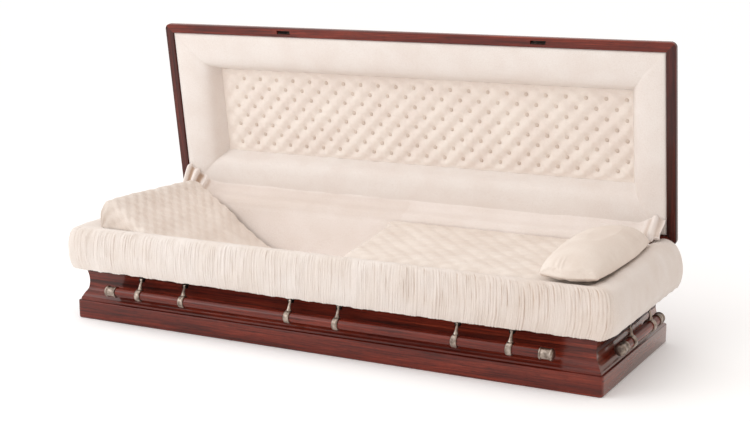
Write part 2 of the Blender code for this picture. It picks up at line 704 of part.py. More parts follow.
def main():
    for old in list(bpy.data.objects):
        bpy.data.objects.remove(old)
    make_base()
    make_panels()
    make_top_moulding()
    make_lining()
    make_mattress()
    make_bed_quilt()
    make_throw()
    make_pillow()
    make_overlay()
    make_apron()
    make_lid()
    make_handles()


main()
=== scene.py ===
"""A full-length mahogany casket, shown open: its looks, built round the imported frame.

Metres, +Z up. +X is the head end, -Y the front, and the lid hinges on the +Y side.
"""

import json
import math

import bpy
import numpy as np
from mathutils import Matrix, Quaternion, Vector


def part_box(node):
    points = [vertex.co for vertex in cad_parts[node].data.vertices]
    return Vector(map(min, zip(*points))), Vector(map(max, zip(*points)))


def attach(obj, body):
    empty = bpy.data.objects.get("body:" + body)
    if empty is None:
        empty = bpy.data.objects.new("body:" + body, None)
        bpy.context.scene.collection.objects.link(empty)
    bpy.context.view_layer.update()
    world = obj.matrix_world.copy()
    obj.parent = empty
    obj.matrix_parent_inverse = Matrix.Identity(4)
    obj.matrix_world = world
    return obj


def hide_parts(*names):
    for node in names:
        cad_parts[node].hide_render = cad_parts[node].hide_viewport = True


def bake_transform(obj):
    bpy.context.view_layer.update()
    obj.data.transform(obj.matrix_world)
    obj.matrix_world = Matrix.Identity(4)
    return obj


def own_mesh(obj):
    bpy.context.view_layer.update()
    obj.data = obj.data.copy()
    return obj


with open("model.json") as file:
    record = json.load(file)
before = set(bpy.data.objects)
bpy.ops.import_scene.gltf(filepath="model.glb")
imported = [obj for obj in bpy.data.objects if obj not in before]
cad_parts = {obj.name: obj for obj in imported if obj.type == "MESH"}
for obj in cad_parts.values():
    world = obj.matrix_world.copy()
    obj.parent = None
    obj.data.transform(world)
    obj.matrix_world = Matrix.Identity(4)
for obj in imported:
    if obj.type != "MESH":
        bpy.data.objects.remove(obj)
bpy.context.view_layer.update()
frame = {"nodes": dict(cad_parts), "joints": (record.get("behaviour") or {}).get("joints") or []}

bl_info = {
    "name": "Open casket",
    "version": (1, 0, 0),
    "blender": (4, 5, 0),
    "location": "3D View > Sidebar > Casket",
    "description": "Builds a hardwood casket with swing-bar handles and a tufted interior",
    "category": "Add Mesh",
}

NODES = frame["nodes"]
MM = 0.001

# Where the frame puts the case and the lid's hinge
BASE_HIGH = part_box("base_moulding")[1]
HALF_LENGTH, HALF_WIDTH = BASE_HIGH.x, BASE_HIGH.y
HINGE = np.array(next(joint for joint in frame["joints"] if joint["name"] == "lid_hinge")["pos_m"])

# The case: the overlay's seat on its rim, the mattress, and the gap that touching pieces keep
RIM_SEAT = 0.3473
MATTRESS_TOP = 0.150
TOUCH = 0.0003

# The lid, drawn closed: its rim's outline and height, its padded border and its tufted panel
LID_OPEN = math.radians(81.5)
LID_HALF_LENGTH, LID_HALF_WIDTH, LID_CORNER = 1.078, 0.376, 0.022
LID_MIDDLE_Y = 0.013 - LID_HALF_WIDTH
RIM_ABOVE_HINGE = 0.0275
BORDER_WIDTH, PANEL_DEPTH = 0.200, 0.082


# Colours and materials


def colour(text):
    """An sRGB hex colour as linear values with alpha."""
    values = np.array([int(text[i:i + 2], 16) for i in (1, 3, 5)]) / 255
    linear = np.where(values <= 0.04045, values / 12.92, ((values + 0.055) / 1.055) ** 2.4)
    return (*linear.tolist(), 1.0)


def per_metre(*sizes_mm):
    """A pattern's scale along each axis, from its size there in millimetres."""
    return tuple(1 / (size * MM) for size in sizes_mm)


def add_node(tree, kind, links=None, stops=(), **settings):
    """Adds a shader node with its settings, its inputs and, for a colour ramp, its stops.

    An input takes a value, a socket, or a node, whose first output in use it then reads. A stop is
    (position, hex colour).
    """
    made = tree.nodes.new("ShaderNode" + kind)
    for key, value in settings.items():
        setattr(made, key, value)
    for key, value in (links or {}).items():
        if isinstance(value, bpy.types.Node):
            value = next(output for output in value.outputs if output.enabled)
        if isinstance(value, bpy.types.NodeSocket):
            tree.links.new(value, made.inputs[key])
        else:
            made.inputs[key].default_value = value
    for position, _ in stops[1:-1]:
        made.color_ramp.elements.new(position)
    for n, (position, text) in enumerate(stops):
        made.color_ramp.elements[n].position = position
        made.color_ramp.elements[n].color = colour(text)
    return made


def new_material(name):
    """A material and its empty node tree."""
    made = bpy.data.materials.new(name)
    made.use_nodes = True
    made.node_tree.nodes.clear()
    return made, made.node_tree


def polished_mahogany(name, along, tones, coats):
    """Solid mahogany, stained red-brown and lacquered: ribbon figure, fine pores, a deep clear gloss.

    Pieces with their own UV map run the grain along u. A board read by Object coordinates names the
    axis its grain follows. coats is lacquer over or under what the settings give every piece.
    """
    made, tree = new_material(name)
    coordinates = add_node(tree, "TexCoord")
    source = coordinates.outputs["UV"]
    if along:
        turn = (0.0, 0.0, {"X": 0.0, "Y": math.radians(90)}[along])
        source = add_node(tree, "Mapping", {"Vector": coordinates.outputs["Object"], "Rotation": turn})

    # Bands of figure, dark streaks and pores, as (length and width in mm, detail, roughness, bend).
    # Real pores are finer than the render shows, so they are drawn 1.6 mm apart
    grain = []
    for (length, width), detail, rough, bend in (((909, 45.45), 3.0, 0.6, 0.5), ((200, 6.25), 5.0, 0.65, 0.0),
                                                 ((33.3, 1.613), 2.0, 0.6, 0.0)):
        stretched = add_node(tree, "Mapping", {"Vector": source, "Scale": per_metre(length, width, width)})
        grain.append(add_node(tree, "TexNoise", {"Vector": stretched, "Scale": 1.0, "Detail": detail,
                                                 "Roughness": rough, "Distortion": bend}))
    figure, streaks, pores = grain

    base = add_node(tree, "ValToRGB", {"Fac": figure}, tuple(zip((0.30, 0.45, 0.58, 0.74), tones)))
    veins = add_node(tree, "ValToRGB", {"Fac": streaks},
                     ((0.32, "#4E342D"), (0.50, "#C0A8A0"), (0.68, "#FFFFFF")))
    dots = add_node(tree, "ValToRGB", {"Fac": pores},
                    ((0.34, "#4A3632"), (0.46, "#FFFFFF"), (1.0, "#FFFFFF")))
    for share, over in ((0.80, veins), (0.55, dots)):
        base = add_node(tree, "Mix", {0: share, 6: base, 7: over}, data_type="RGBA", blend_type="MULTIPLY")
    lacquer = bpy.context.scene.casket_wood.gloss + coats
    shader = add_node(tree, "BsdfPrincipled", {
        "Base Color": base,
        "Roughness": add_node(tree, "MapRange", {0: streaks, 1: 0.3, 2: 0.7, 3: 0.44, 4: 0.34}),
        "Normal": add_node(tree, "Bump", {"Strength": 0.05, "Distance": 0.6 * MM, "Height": pores}),
        "Specular IOR Level": 0.20,
        "Coat Weight": min(1.0, max(0.0, lacquer)),
        "Coat Roughness": 0.12,
        "Coat Tint": colour("#F2D2BC"),
    })
    add_node(tree, "OutputMaterial", {"Surface": shader})
    return made


def soft_cloth(name, light, shade, crinkle_mm, relief, sheen, crease=None):
    """Woven crepe: matt, with a fine crinkle in the weave and a faint bloom at grazing light.

    Where the piece carries a crease attribute, which holds painted shade, the crease colour is mixed in by
    it, darkening the cloth in folds and other shaded places.
    """
    made, tree = new_material(name)
    source = add_node(tree, "TexCoord").outputs["Object"]
    crinkle = add_node(tree, "TexNoise", {"Vector": source, "Scale": 1 / (crinkle_mm * MM), "Detail": 3.0,
                                          "Roughness": 0.6})
    # Real threads lie 0.3 mm apart. They are drawn 1.9 mm apart, and longer down a skirt, to show
    threads = add_node(tree, "Mapping", {"Vector": source, "Scale": per_metre(1.923, 1.923, 7.692)})
    weave = add_node(tree, "TexNoise", {"Vector": threads, "Scale": 1.0, "Detail": 2.0, "Roughness": 0.5})
    # Slow patches 111 mm across, where the cloth lies with or against its nap
    patches = add_node(tree, "TexNoise", {"Vector": source, "Scale": 1 / (111.1 * MM), "Detail": 2.0,
                                          "Roughness": 0.5})
    share = add_node(tree, "MapRange", {0: patches, 1: 0.35, 2: 0.65})
    tone = add_node(tree, "Mix", {0: share, 6: colour(light), 7: colour(shade)}, data_type="RGBA")
    # Painted shade: the crease attribute mixes the darker crease colour into the tone
    if crease:
        depth = add_node(tree, "Attribute", attribute_name="crease").outputs["Fac"]
        tone = add_node(tree, "Mix", {0: depth, 6: tone, 7: colour(crease)}, data_type="RGBA")
    speckle = add_node(tree, "ValToRGB", {"Fac": crinkle},
                       ((0.30, "#E9E2DC"), (0.55, "#FFFFFF"), (1.0, "#FFFFFF")))
    tone = add_node(tree, "Mix", {0: 0.6, 6: tone, 7: speckle}, data_type="RGBA", blend_type="MULTIPLY")
    height = add_node(tree, "Math", {0: crinkle, 1: weave}, operation="ADD")
    shader = add_node(tree, "BsdfPrincipled", {
        "Base Color": tone,
        "Normal": add_node(tree, "Bump", {"Strength": relief, "Distance": 0.8 * MM, "Height": height}),
        "Roughness": 0.88,
        "Sheen Weight": sheen,
        "Sheen Roughness": 0.5,
        "Specular IOR Level": 0.25,
    })
    add_node(tree, "OutputMaterial", {"Surface": shader})
    return made


def aged_metal(name, bright, middle, dark, roughness):
    """Plated metal in clouds of patina: darker and duller in some, brighter and smoother in others."""
    made, tree = new_material(name)
    source = add_node(tree, "TexCoord").outputs["Object"]
    # Clouds of patina 18 mm across, and a cast skin whose grain is drawn 1.1 mm across to show
    patina = add_node(tree, "TexNoise", {"Vector": source, "Scale": 1 / (18.18 * MM), "Detail": 3.0,
                                         "Roughness": 0.5})
    skin = add_node(tree, "TexNoise", {"Vector": source, "Scale": 1 / (1.111 * MM), "Detail": 2.0,
                                       "Roughness": 0.5})
    dull, worn = roughness + 0.14, roughness - 0.06
    shader = add_node(tree, "BsdfPrincipled", {
        "Base Color": add_node(tree, "ValToRGB", {"Fac": patina},
                               ((0.32, dark), (0.50, middle), (0.68, bright))),
        "Roughness": add_node(tree, "MapRange", {0: patina, 1: 0.3, 2: 0.7, 3: dull, 4: worn}),
        "Normal": add_node(tree, "Bump", {"Strength": 0.12, "Distance": 0.3 * MM, "Height": skin}),
        "Metallic": 1.0,
    })
    add_node(tree, "OutputMaterial", {"Surface": shader})
    return made


RED_BROWN = ("#54190F", "#74281A", "#8C3724", "#A34B34")

# Grain axis, four tones from dark to light, and lacquer over or under the common setting
WOODS = {
    # Mouldings, rims and bars, their grain along each length
    "lacquered_mahogany": (None, RED_BROWN, 0.0),
    # The short lengths of the lid's rim, in darker tones as painted shade
    "painted_shade_mahogany": (None, ("#3C120D", "#521D16", "#652820", "#7A3830"), 0.0),
    # The short lengths of the case's mouldings, rubbed to a mirror
    "buffed_mahogany": (None, RED_BROWN, 0.55),
    # Panels, floor, hinge rail and the flat middle of the crown, their grain along the case, in darker tones
    # than the mouldings as painted shade
    "mahogany_long_boards": ("X", ("#42120B", "#5C1D12", "#722A1B", "#863826"), 0.0),
    # End panels, their grain across the case, darker still as painted shade, and without the clear coat's
    # gloss
    "mahogany_end_boards": ("Y", ("#300D08", "#43160C", "#531E12", "#612A1A"), -0.50),
}

# Colour in light and in shade, crinkle in mm, relief, bloom, and the colour of painted shade in folds and
# shaded places
CLOTHS = {
    # The lid's padded border, pulled smooth
    "smooth_crepe": ("#E8E1DC", "#E4DBD5", 2.4, 0.20, 0.20),
    # The walls of the well and the mattress, paler as painted light where little light reaches them
    "lining_crepe": ("#FBF6F3", "#F7F1ED", 2.4, 0.20, 0.20),
    # The apron, with painted shade in tan deep in its gussets
    "bunched_crepe": ("#EEE6E1", "#EAE1DB", 2.4, 0.20, 0.20, "#A5805E"),
    # The overlay and its gathered skirt, with painted shade in tan in the valleys between folds and more
    # towards the head end
    "shirred_crepe": ("#E4DCD6", "#DFD5CD", 1.8, 0.25, 0.20, "#BE9C7E"),
    # The lid's quilted panel and its buttons, whose colour is a little darker as painted shade in their pits
    "tufted_crepe": ("#EEE5DD", "#E9DED6", 2.2, 0.25, 0.15),
    "covered_buttons": ("#D9CCC1", "#CDBEB2", 1.8, 0.20, 0.15),
    # The foot cover, painted grey as shade where its front end turns away from the light
    "bed_crepe": ("#ECE3DB", "#E4D9D0", 2.4, 0.25, 0.15, "#AFA093"),
    # The bed cover at the head, and the pillow
    "quilt_crepe": ("#E9DFD6", "#E1D5CB", 2.4, 0.25, 0.15),
    "pillow_crepe": ("#E7DCD2", "#E0D3C8", 2.0, 0.22, 0.15),
}

# Colour where the patina is brightest, in the middle and where it is darkest, and roughness
METALS = {
    # Tips and arms of the handles, whose roughness is a setting
    "antique_nickel_plate": ("#B3A69B", "#998B80", "#6B5F57", None),
    # Lug plates and catches, nearly black: dark plating, with painted shade where they sit under the skirt
    # and in their pockets
    "dark_nickel_plate": ("#4A403C", "#302926", "#1C1817", 0.45),
    # The long hinge, dull gold
    "satin_brass_hinge": ("#A89066", "#9C855C", "#86724F", 0.35),
}


def finish(name):
    """The named material, made the first time it is asked for."""
    found = bpy.data.materials.get(name)
    if found:
        return found
    if name in WOODS:
        return polished_mahogany(name, *WOODS[name])
    if name in CLOTHS:
        return soft_cloth(name, *CLOTHS[name])
    *tones, roughness = METALS[name]
    if roughness is None:
        roughness = bpy.context.scene.casket_metal.roughness
    return aged_metal(name, *tones, roughness)


# Curves and surfaces


def curve_weights(count, per_span):
    """A matrix that turns control points into points on the smooth curve through them.

    Catmull-Rom: between two points the curve is a cubic whose slopes come from their neighbours.
    """
    rows = []
    for span in range(count - 1):
        for step in range(per_span):
            rows.append((span, step / per_span))
    rows.append((count - 2, 1.0))
    span, t = np.array(rows).T
    parts = (-0.5 * t + t**2 - 0.5 * t**3, 1 - 2.5 * t**2 + 1.5 * t**3,
             0.5 * t + 2 * t**2 - 1.5 * t**3, -0.5 * t**2 + 0.5 * t**3)
    weights = np.zeros((len(rows), count))
    line = np.arange(len(rows))
    for shift, part in zip((-1, 0, 1, 2), parts):
        np.add.at(weights, (line, np.clip(span.astype(int) + shift, 0, count - 1)), part)
    return weights


def smooth_curve(points, per_span):
    """Points on the smooth curve through the given ones."""
    return curve_weights(len(points), per_span) @ np.array(points, float)


def filleted(points, radii, steps=4):
    """A closed outline with its corners rounded: each corner is a quadratic arc between two points."""
    points = np.array(points, float)
    before, after = np.roll(points, 1, 0), np.roll(points, -1, 0)
    made = []
    for corner, back, ahead, radius in zip(points, before, after, radii):
        if radius <= 0:
            made.append(corner[None])
            continue
        to_back, to_ahead = back - corner, ahead - corner
        reach = min(radius, 0.48 * np.linalg.norm(to_back), 0.48 * np.linalg.norm(to_ahead))
        start = corner + to_back / np.linalg.norm(to_back) * reach
        end = corner + to_ahead / np.linalg.norm(to_ahead) * reach
        t = np.linspace(0, 1, steps + 1)[:, None]
        made.append((1 - t) ** 2 * start + 2 * t * (1 - t) * corner + t**2 * end)
    return np.vstack(made)


def smoothstep(value, low, high):
    """Rises from 0 at low to 1 at high, level at both: 3 t^2 - 2 t^3."""
    t = np.clip((value - low) / (high - low), 0, 1)
    return t * t * (3 - 2 * t)


def rounding(share):
    """How far a quarter circle lies below its crown, from 1 at its edge to 0, as a share of its radius."""
    return 1 - np.sqrt(np.clip(1 - (1 - np.clip(share, 0, 1)) ** 2, 0, 1))


def run_along(points):
    """How far each point lies along the line through them all."""
    return np.concatenate([[0], np.cumsum(np.linalg.norm(np.diff(points, axis=0), axis=1))])


def ripple(x, y, seed, size, octaves=5):
    """Smooth, repeatable unevenness between about -1 and 1: a sum of waves in seeded directions.

    size is about the length of a wave in metres.
    """
    draws = np.random.default_rng(seed)
    total = np.zeros(np.broadcast(x, y).shape)
    for _ in range(octaves):
        turn, phase = draws.uniform(0, 2 * math.pi, 2)
        rate = 2 * math.pi / size * draws.uniform(0.6, 1.7)
        total = total + np.sin(rate * (x * math.cos(turn) + y * math.sin(turn)) + phase)
    return total / math.sqrt(octaves)


def normals_of(grid, probe, way, wrap_columns=False):
    """Unit normals of a grid of points: the cross product of its two tangents.

    All are turned so that the one at the probe's row and column points the given way.
    """
    along = np.gradient(grid, axis=1)
    if wrap_columns:
        along = (np.roll(grid, -1, 1) - np.roll(grid, 1, 1)) / 2
    cross = np.cross(along, np.gradient(grid, axis=0))
    normals = cross / np.maximum(np.linalg.norm(cross, axis=-1, keepdims=True), 1e-12)
    return normals * (1 if normals[probe] @ np.array(way) > 0 else -1)


def signed_volume(points, faces):
    """Six times the volume inside a closed mesh, from fans of its faces."""
    total = 0.0
    for face in faces:
        ring = points[face]
        total += np.einsum("...i,...i", ring[..., :1, :],
                           np.cross(ring[..., 1:-1, :], ring[..., 2:, :])).sum()
    return total


def build_mesh(name, points, quads, material, smooth_deg, caps=(), corner_uv=None):
    """A mesh object from arrays, with its faces turned outwards by the sign of its volume.

    quads is (n, 4) indices and caps is a list of index lists. corner_uv has one (u, v) for each
    corner of each quad. Edges sharper than smooth_deg stay sharp.
    """
    points = np.asarray(points, float).reshape(-1, 3)
    extra = [np.asarray(cap) for cap in caps]
    if signed_volume(points, [quads, *[cap[None] for cap in extra]]) < 0:
        quads, extra = quads[:, ::-1], [cap[::-1] for cap in extra]
        if corner_uv is not None:
            corner_uv = corner_uv[:, ::-1]
    mesh = bpy.data.meshes.new(name)
    corners = np.concatenate([quads.ravel(), *extra]) if extra else quads.ravel()
    sizes = np.concatenate([np.full(len(quads), 4), [len(p) for p in extra]]).astype(int)
    starts = np.concatenate([[0], np.cumsum(sizes)[:-1]])
    mesh.vertices.add(len(points))
    mesh.vertices.foreach_set("co", points.astype(np.float32).ravel())
    mesh.loops.add(len(corners))
    mesh.loops.foreach_set("vertex_index", corners.astype(np.int32))
    mesh.polygons.add(len(sizes))
    mesh.polygons.foreach_set("loop_start", starts.astype(np.int32))
    mesh.update(calc_edges=True)
    if corner_uv is not None:
        layer = mesh.uv_layers.new(name="grain")
        flat = np.zeros((len(corners), 2), np.float32)
        flat[: quads.size] = corner_uv.reshape(-1, 2)
        layer.data.foreach_set("uv", flat.ravel())
    mesh.validate()
    mesh.shade_smooth()
    if smooth_deg is not None:
        mesh.set_sharp_from_angle(angle=math.radians(smooth_deg))
    mesh.materials.append(finish(material))
    made = bpy.data.objects.new(name, mesh)
    bpy.context.scene.collection.objects.link(made)
    return made


def cells(grid):
    """The four corners of every cell of a grid, in order round it."""
    return np.stack([grid[:-1, :-1], grid[:-1, 1:], grid[1:, 1:], grid[1:, :-1]], 2)


def grid_quads(rows, columns, wrap_rows=False, wrap_columns=False):
    """Quads between neighbouring points of a grid, closed round where asked."""
    index = np.arange(rows * columns).reshape(rows, columns)
    if wrap_rows:
        index = np.vstack([index, index[:1]])
    if wrap_columns:
        index = np.hstack([index, index[:, :1]])
    return cells(index).reshape(-1, 4)


def border_of(rows, columns):
    """Indices of the points round the edge of a grid, in order."""
    index = np.arange(rows * columns).reshape(rows, columns)
    return np.concatenate([index[0, :], index[1:, -1], index[-1, -2::-1], index[-2:0:-1, 0]])


def end_caps(rows, columns):
    """The first and the last loop of a tube as two faces that look apart."""
    return [list(range(columns)), list(range(rows * columns - 1, (rows - 1) * columns - 1, -1))]


def closed_tube(name, grid, material, smooth_deg, corner_uv=None):
    """A skin over rows of closed loops, capped at its first and last row."""
    rows, columns = grid.shape[:2]
    quads = grid_quads(rows, columns, wrap_columns=True)
    return build_mesh(name, grid, quads, material, smooth_deg, end_caps(rows, columns), corner_uv)


def closed_ring(name, grid, material, smooth_deg, corner_uv=None):
    """A skin over a closed profile carried round a closed path."""
    rows, columns = grid.shape[:2]
    return build_mesh(name, grid, grid_quads(rows, columns, True, True), material, smooth_deg, (), corner_uv)


def closed_pad(name, top, level, material, way=(0.0, 0.0, 1.0)):
    """A sheet of points closed by walls and a floor.

    Each point of its border drops, straight against the way, to the plane whose points p have
    p . way = level.
    """
    rows, columns = top.shape[:2]
    points, rim = top.reshape(-1, 3), border_of(rows, columns)
    foot = points[rim] + np.outer(level - points[rim] @ np.array(way), way)
    feet = np.arange(len(rim)) + len(points)
    walls = np.stack([rim, np.roll(rim, -1), np.roll(feet, -1), feet], -1)
    quads = np.vstack([grid_quads(rows, columns)[:, ::-1], walls])
    return build_mesh(name, np.vstack([points, foot]), quads, material, 75, [list(feet)])


def joined(parts):
    """Closed parts, each as (points, quads, caps), in one set of arrays, every one facing outwards."""
    points, quads, caps, first = [], [], [], 0
    for part, faces, ends in parts:
        part = part.reshape(-1, 3)
        if signed_volume(part, [faces, *[np.array(end)[None] for end in ends]]) < 0:
            faces, ends = faces[:, ::-1], [end[::-1] for end in ends]
        points.append(part)
        quads.append(faces + first)
        caps += [[corner + first for corner in end] for end in ends]
        first += len(part)
    return np.vstack(points), np.vstack(quads), caps


def paint_shade(made, shade):
    """Writes each vertex's painted shade into the crease attribute, which darkens the cloth's colour; the
    foot has the last value.
    """
    values = np.full(len(made.data.vertices), shade.ravel()[-1], np.float32)
    values[: shade.size] = shade.ravel()
    made.data.attributes.new("crease", "FLOAT", "POINT").data.foreach_set("value", values)


def opened(points):
    """Points drawn with the lid closed, from its hinge axis, turned to where the lid stands open."""
    x, y, z = np.moveaxis(points, -1, 0)
    cos, sin = math.cos(LID_OPEN), math.sin(LID_OPEN)
    return np.stack([x, y * cos + z * sin, z * cos - y * sin], -1) + HINGE


# Mitred frames


def ring_grid(half_x, half_y, radius, profile, corner_steps=8, straight=1, centre_y=0.0, least=0.0005,
              front=None):
    """A profile of (inset, height) carried round a rectangle whose corners are arcs.

    Each point of the profile runs on its own rectangle, inset from the outer one, with what is left
    of the corner's radius, and never less than the least. front gives the front's stations as
    shares of its length. Returns points (profile, stations, 3), the side that follows each station
    (0 back, 1 foot, 2 front, 3 head) and its share along that side.
    """
    even = np.arange(straight) / straight
    stations = []
    for corner in range(4):
        for step in range(corner_steps):
            side = (corner + 3) % 4 if step < corner_steps / 2 else corner
            stations.append((corner, step / corner_steps, 0.0, side))
        for share in even if front is None or corner != 2 else front:
            stations.append((corner, 1.0, share, corner))
    corner, arc, share, side = np.array(stations).T
    corner = corner.astype(int)

    def place(which, turn_share, insets):
        turn = (which + turn_share) * math.pi / 2
        sign_x, sign_y = np.array((1, -1, -1, 1))[which], np.array((1, 1, -1, -1))[which]
        bend = np.maximum(radius - insets, least)
        x = sign_x * (half_x - insets - bend) + bend * np.cos(turn)
        y = sign_y * (half_y - insets - bend) + bend * np.sin(turn)
        return x, y

    insets, heights = np.array(profile).T
    x0, y0 = place(corner, arc, insets[:, None])
    x1, y1 = place((corner + 1) % 4, np.zeros(len(corner)), insets[:, None])
    x, y = x0 + (x1 - x0) * share, y0 + (y1 - y0) * share
    z = np.broadcast_to(heights[:, None], x.shape)
    return np.stack([x, y + centre_y, z], -1), side.astype(int), share


def grain_uv(grid, side, profile, closed):
    """UV in metres for a mitred frame: u runs along each member, v round its profile.

    Each side's figure starts in a place of its own, as if cut from another board.
    """
    x = np.hstack([grid[..., 0], grid[:, :1, 0]])
    y = np.hstack([grid[..., 1], grid[:, :1, 1]])
    profile = np.array(profile)
    if closed:
        x, y, profile = np.vstack([x, x[:1]]), np.vstack([y, y[:1]]), np.vstack([profile, profile[:1]])
    v = np.broadcast_to(run_along(profile)[:, None], x.shape)
    side, board_along, board_across = side[None, :, None], 3.7, 0.9
    u = np.where(side % 2 == 0, cells(x), cells(y)) + board_along * side
    return np.stack([u, cells(v) + board_across * side], -1).reshape(-1, 4, 2)


def mitred_frame(name, node, body, ring, profile, end_finish, place=lambda grid: grid):
    """Four lengths of moulding as one closed frame, its grain along each length.

    ring is what ring_grid returned, place moves its points to where they belong, and the two
    lengths across the case have a finish of their own.
    """
    grid, side, _ = ring
    made = closed_ring(name, place(grid), "lacquered_mahogany", 28, grain_uv(grid, side, profile, True))
    made.data.materials.append(finish(end_finish))
    across_case = np.tile(side % 2, len(grid))
    made.data.polygons.foreach_set("material_index", across_case.astype(np.int32))
    mounted(made, body, [node])


def mounted(piece, body, replaces=()):
    """Rides the piece on its body and hides the CAD nodes that it stands for."""
    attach(piece, body)
    if replaces:
        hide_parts(*replaces)
    return piece


def refinished(node, material):
    """Gives a material of this script to a CAD node whose shape stays."""
    mesh = NODES[node].data
    mesh.materials.clear()
    mesh.materials.append(finish(material))


# Tufting


def tuft_height(along, across, pitch, row, depth, crown, pull=0.36, soft=0.8):
    """Relief of sewn diamonds: crowned pads between creases, with a pit where each button pulls.

    along and across are distances in metres from a button. In lattice coordinates the buttons lie
    on even points. A pad's height is a product of two raised cosines to the power soft, and a pit
    is a bell curve.
    """
    a, b = along / (pitch / 2), across / row
    s, t = (a + b) / 2, (a - b) / 2
    s, t = 2 * (s - np.floor(s)) - 1, 2 * (t - np.floor(t)) - 1
    arch = ((0.5 + 0.5 * np.cos(math.pi * s)) * (0.5 + 0.5 * np.cos(math.pi * t))) ** soft
    near = np.round(a), np.round(b)
    odd = (near[0] + near[1]) % 2 != 0
    off_a, off_b = a - near[0], b - near[1]
    shift_a = np.where(odd & (np.abs(off_a) >= np.abs(off_b)), np.sign(off_a), 0)
    shift_b = np.where(odd & (np.abs(off_a) < np.abs(off_b)), np.sign(off_b), 0)
    gap = np.hypot((off_a - shift_a) * pitch / 2, (off_b - shift_b) * row)
    pit = np.exp(-(gap / (pull * row)) ** 2)
    return crown * arch - depth * pit


# Pieces of the case


def base_profile():
    """A flat face with rounded edges, a step, an ogee up behind the handles, then the inner side."""
    ogee = smooth_curve([(0.0108, 0.0800), (0.0150, 0.0848), (0.0185, 0.0925), (0.0240, 0.1010),
                         (0.0300, 0.1100), (0.0340, 0.1210), (0.0357, 0.1370)], 4)
    outline = [(0.0, 0.0), (0.0, 0.0712), (0.0100, 0.0724), (0.0100, 0.0792), *ogee, (0.0380, 0.1372),
               (0.050, 0.106), (0.050, 0.0)]
    radii = [0.008, 0.009, 0.003, 0.0005, *[0.0] * len(ogee), 0.0005, 0.001, 0.001]
    return filleted(outline, radii)


def top_profile():
    """A cove that swells out from the panel, a level soffit, a flat face and a rounded top edge."""
    t = np.linspace(0, 1, 11)
    cove = np.stack([0.0357 - 0.0115 * (1 - np.cos(math.pi / 2 * t)), 0.150 + 0.052 * t], -1)
    outline = [*cove, (0.0245, 0.206), (0.0020, 0.206), (0.0020, 0.347), (0.0357, 0.347)]
    return filleted(outline, [0.001, *[0.0] * (len(cove) - 1), 0.001, 0.004, 0.007, 0.001])


class CASKET_OT_case_woodwork(bpy.types.Operator):
    """Base moulding, panels, top moulding, floor and hinge rail"""

    bl_idname = "casket.case_woodwork"
    bl_label = "Case woodwork"

    def execute(self, context):
        for node, profile, corner in (("base_moulding", base_profile(), 0.015),
                                      ("top_moulding", top_profile(), 0.009)):
            ring = ring_grid(HALF_LENGTH, HALF_WIDTH, corner, profile)
            mitred_frame(node + "_lengths", node, "case", ring, profile, "buffed_mahogany")
        for node in ("front_panel", "back_panel", "floor_board", "hinge_rail"):
            refinished(node, "mahogany_long_boards")
        for node in ("head_panel", "foot_panel"):
            refinished(node, "mahogany_end_boards")
        for node in ("hinge_case_leaf", "hinge_lid_leaf"):
            refinished(node, "satin_brass_hinge")
        return {"FINISHED"}


# Pieces of the lid


def lid_profile(points):
    """(inset, depth behind the rim's face) as (inset, height above the hinge axis)."""
    return np.array(points, float) + (0.0, RIM_ABOVE_HINGE)


# The catches' pockets: their middles along the rim, how far each reaches to either side, between
# which insets, how deep it is, and how steep its walls are in plan
CATCHES = (-0.509, 0.569)
POCKET_REACH, POCKET_INSETS, POCKET_DEPTH, POCKET_WALL = 0.030, (0.0110, 0.0250), 0.012, 0.0002
HEAD_SHIFT = 0.017  # the border is narrower at the head


def lid_rim_ring():
    """The rim's outline round the lid, with a pocket sunk in its front face for each catch."""
    outline = filleted([(0.0, 0.0), (0.0, 0.024), (0.036, 0.024), (0.036, 0.0)], [0.004, 0.004, 0.001, 0.002])
    near, far = POCKET_INSETS
    face = [(far, 0.0), (far - POCKET_WALL, 0.0), (near + POCKET_WALL, 0.0), (near, 0.0)]
    profile = lid_profile(np.vstack([outline, face]))
    length = 2 * (LID_HALF_LENGTH - LID_CORNER)
    steps = (-POCKET_REACH, POCKET_WALL - POCKET_REACH, POCKET_REACH - POCKET_WALL, POCKET_REACH)
    front = [0.0, *[0.5 + (x + step) / length for x in CATCHES for step in steps]]
    grid, side, share = ring_grid(LID_HALF_LENGTH, LID_HALF_WIDTH, LID_CORNER, profile, centre_y=LID_MIDDLE_Y,
                                  front=front)
    inside = np.min([np.abs(grid[0, :, 0] - x) for x in CATCHES], 0) < POCKET_REACH - POCKET_WALL / 2
    sunk = (side == 2) & inside & (share > 0)
    rows = np.array([len(outline) + 1, len(outline) + 2])
    grid[rows[:, None], np.flatnonzero(sunk)[None], 2] += POCKET_DEPTH
    return (grid, side, share), profile


def crown_profile():
    """The crown from the middle of its inside, out over the rim's seat, and back over its outside.

    Both sides rise as a sine to the power 0.8 of the way in from the rim.
    """
    t = np.linspace(0, 1, 17)
    rise = np.sin(math.pi / 2 * t) ** 0.8
    outside = np.stack([0.034 + 0.236 * t, 0.054 + 0.106 * rise], -1)
    inside = np.stack([0.054 + 0.216 * t, 0.044 + 0.101 * rise], -1)
    step = filleted([(0.020, 0.0243), (0.004, 0.0243), (0.005, 0.030), (0.013, 0.036), (0.017, 0.045),
                     (0.028, 0.051), (0.034, 0.054)], [0.0, 0.001, 0.003, 0.004, 0.004, 0.003, 0.0])
    seat = [(0.045, 0.040), (0.030, 0.033)]
    return lid_profile(np.vstack([inside[::-1], seat, step, outside[1:]]))


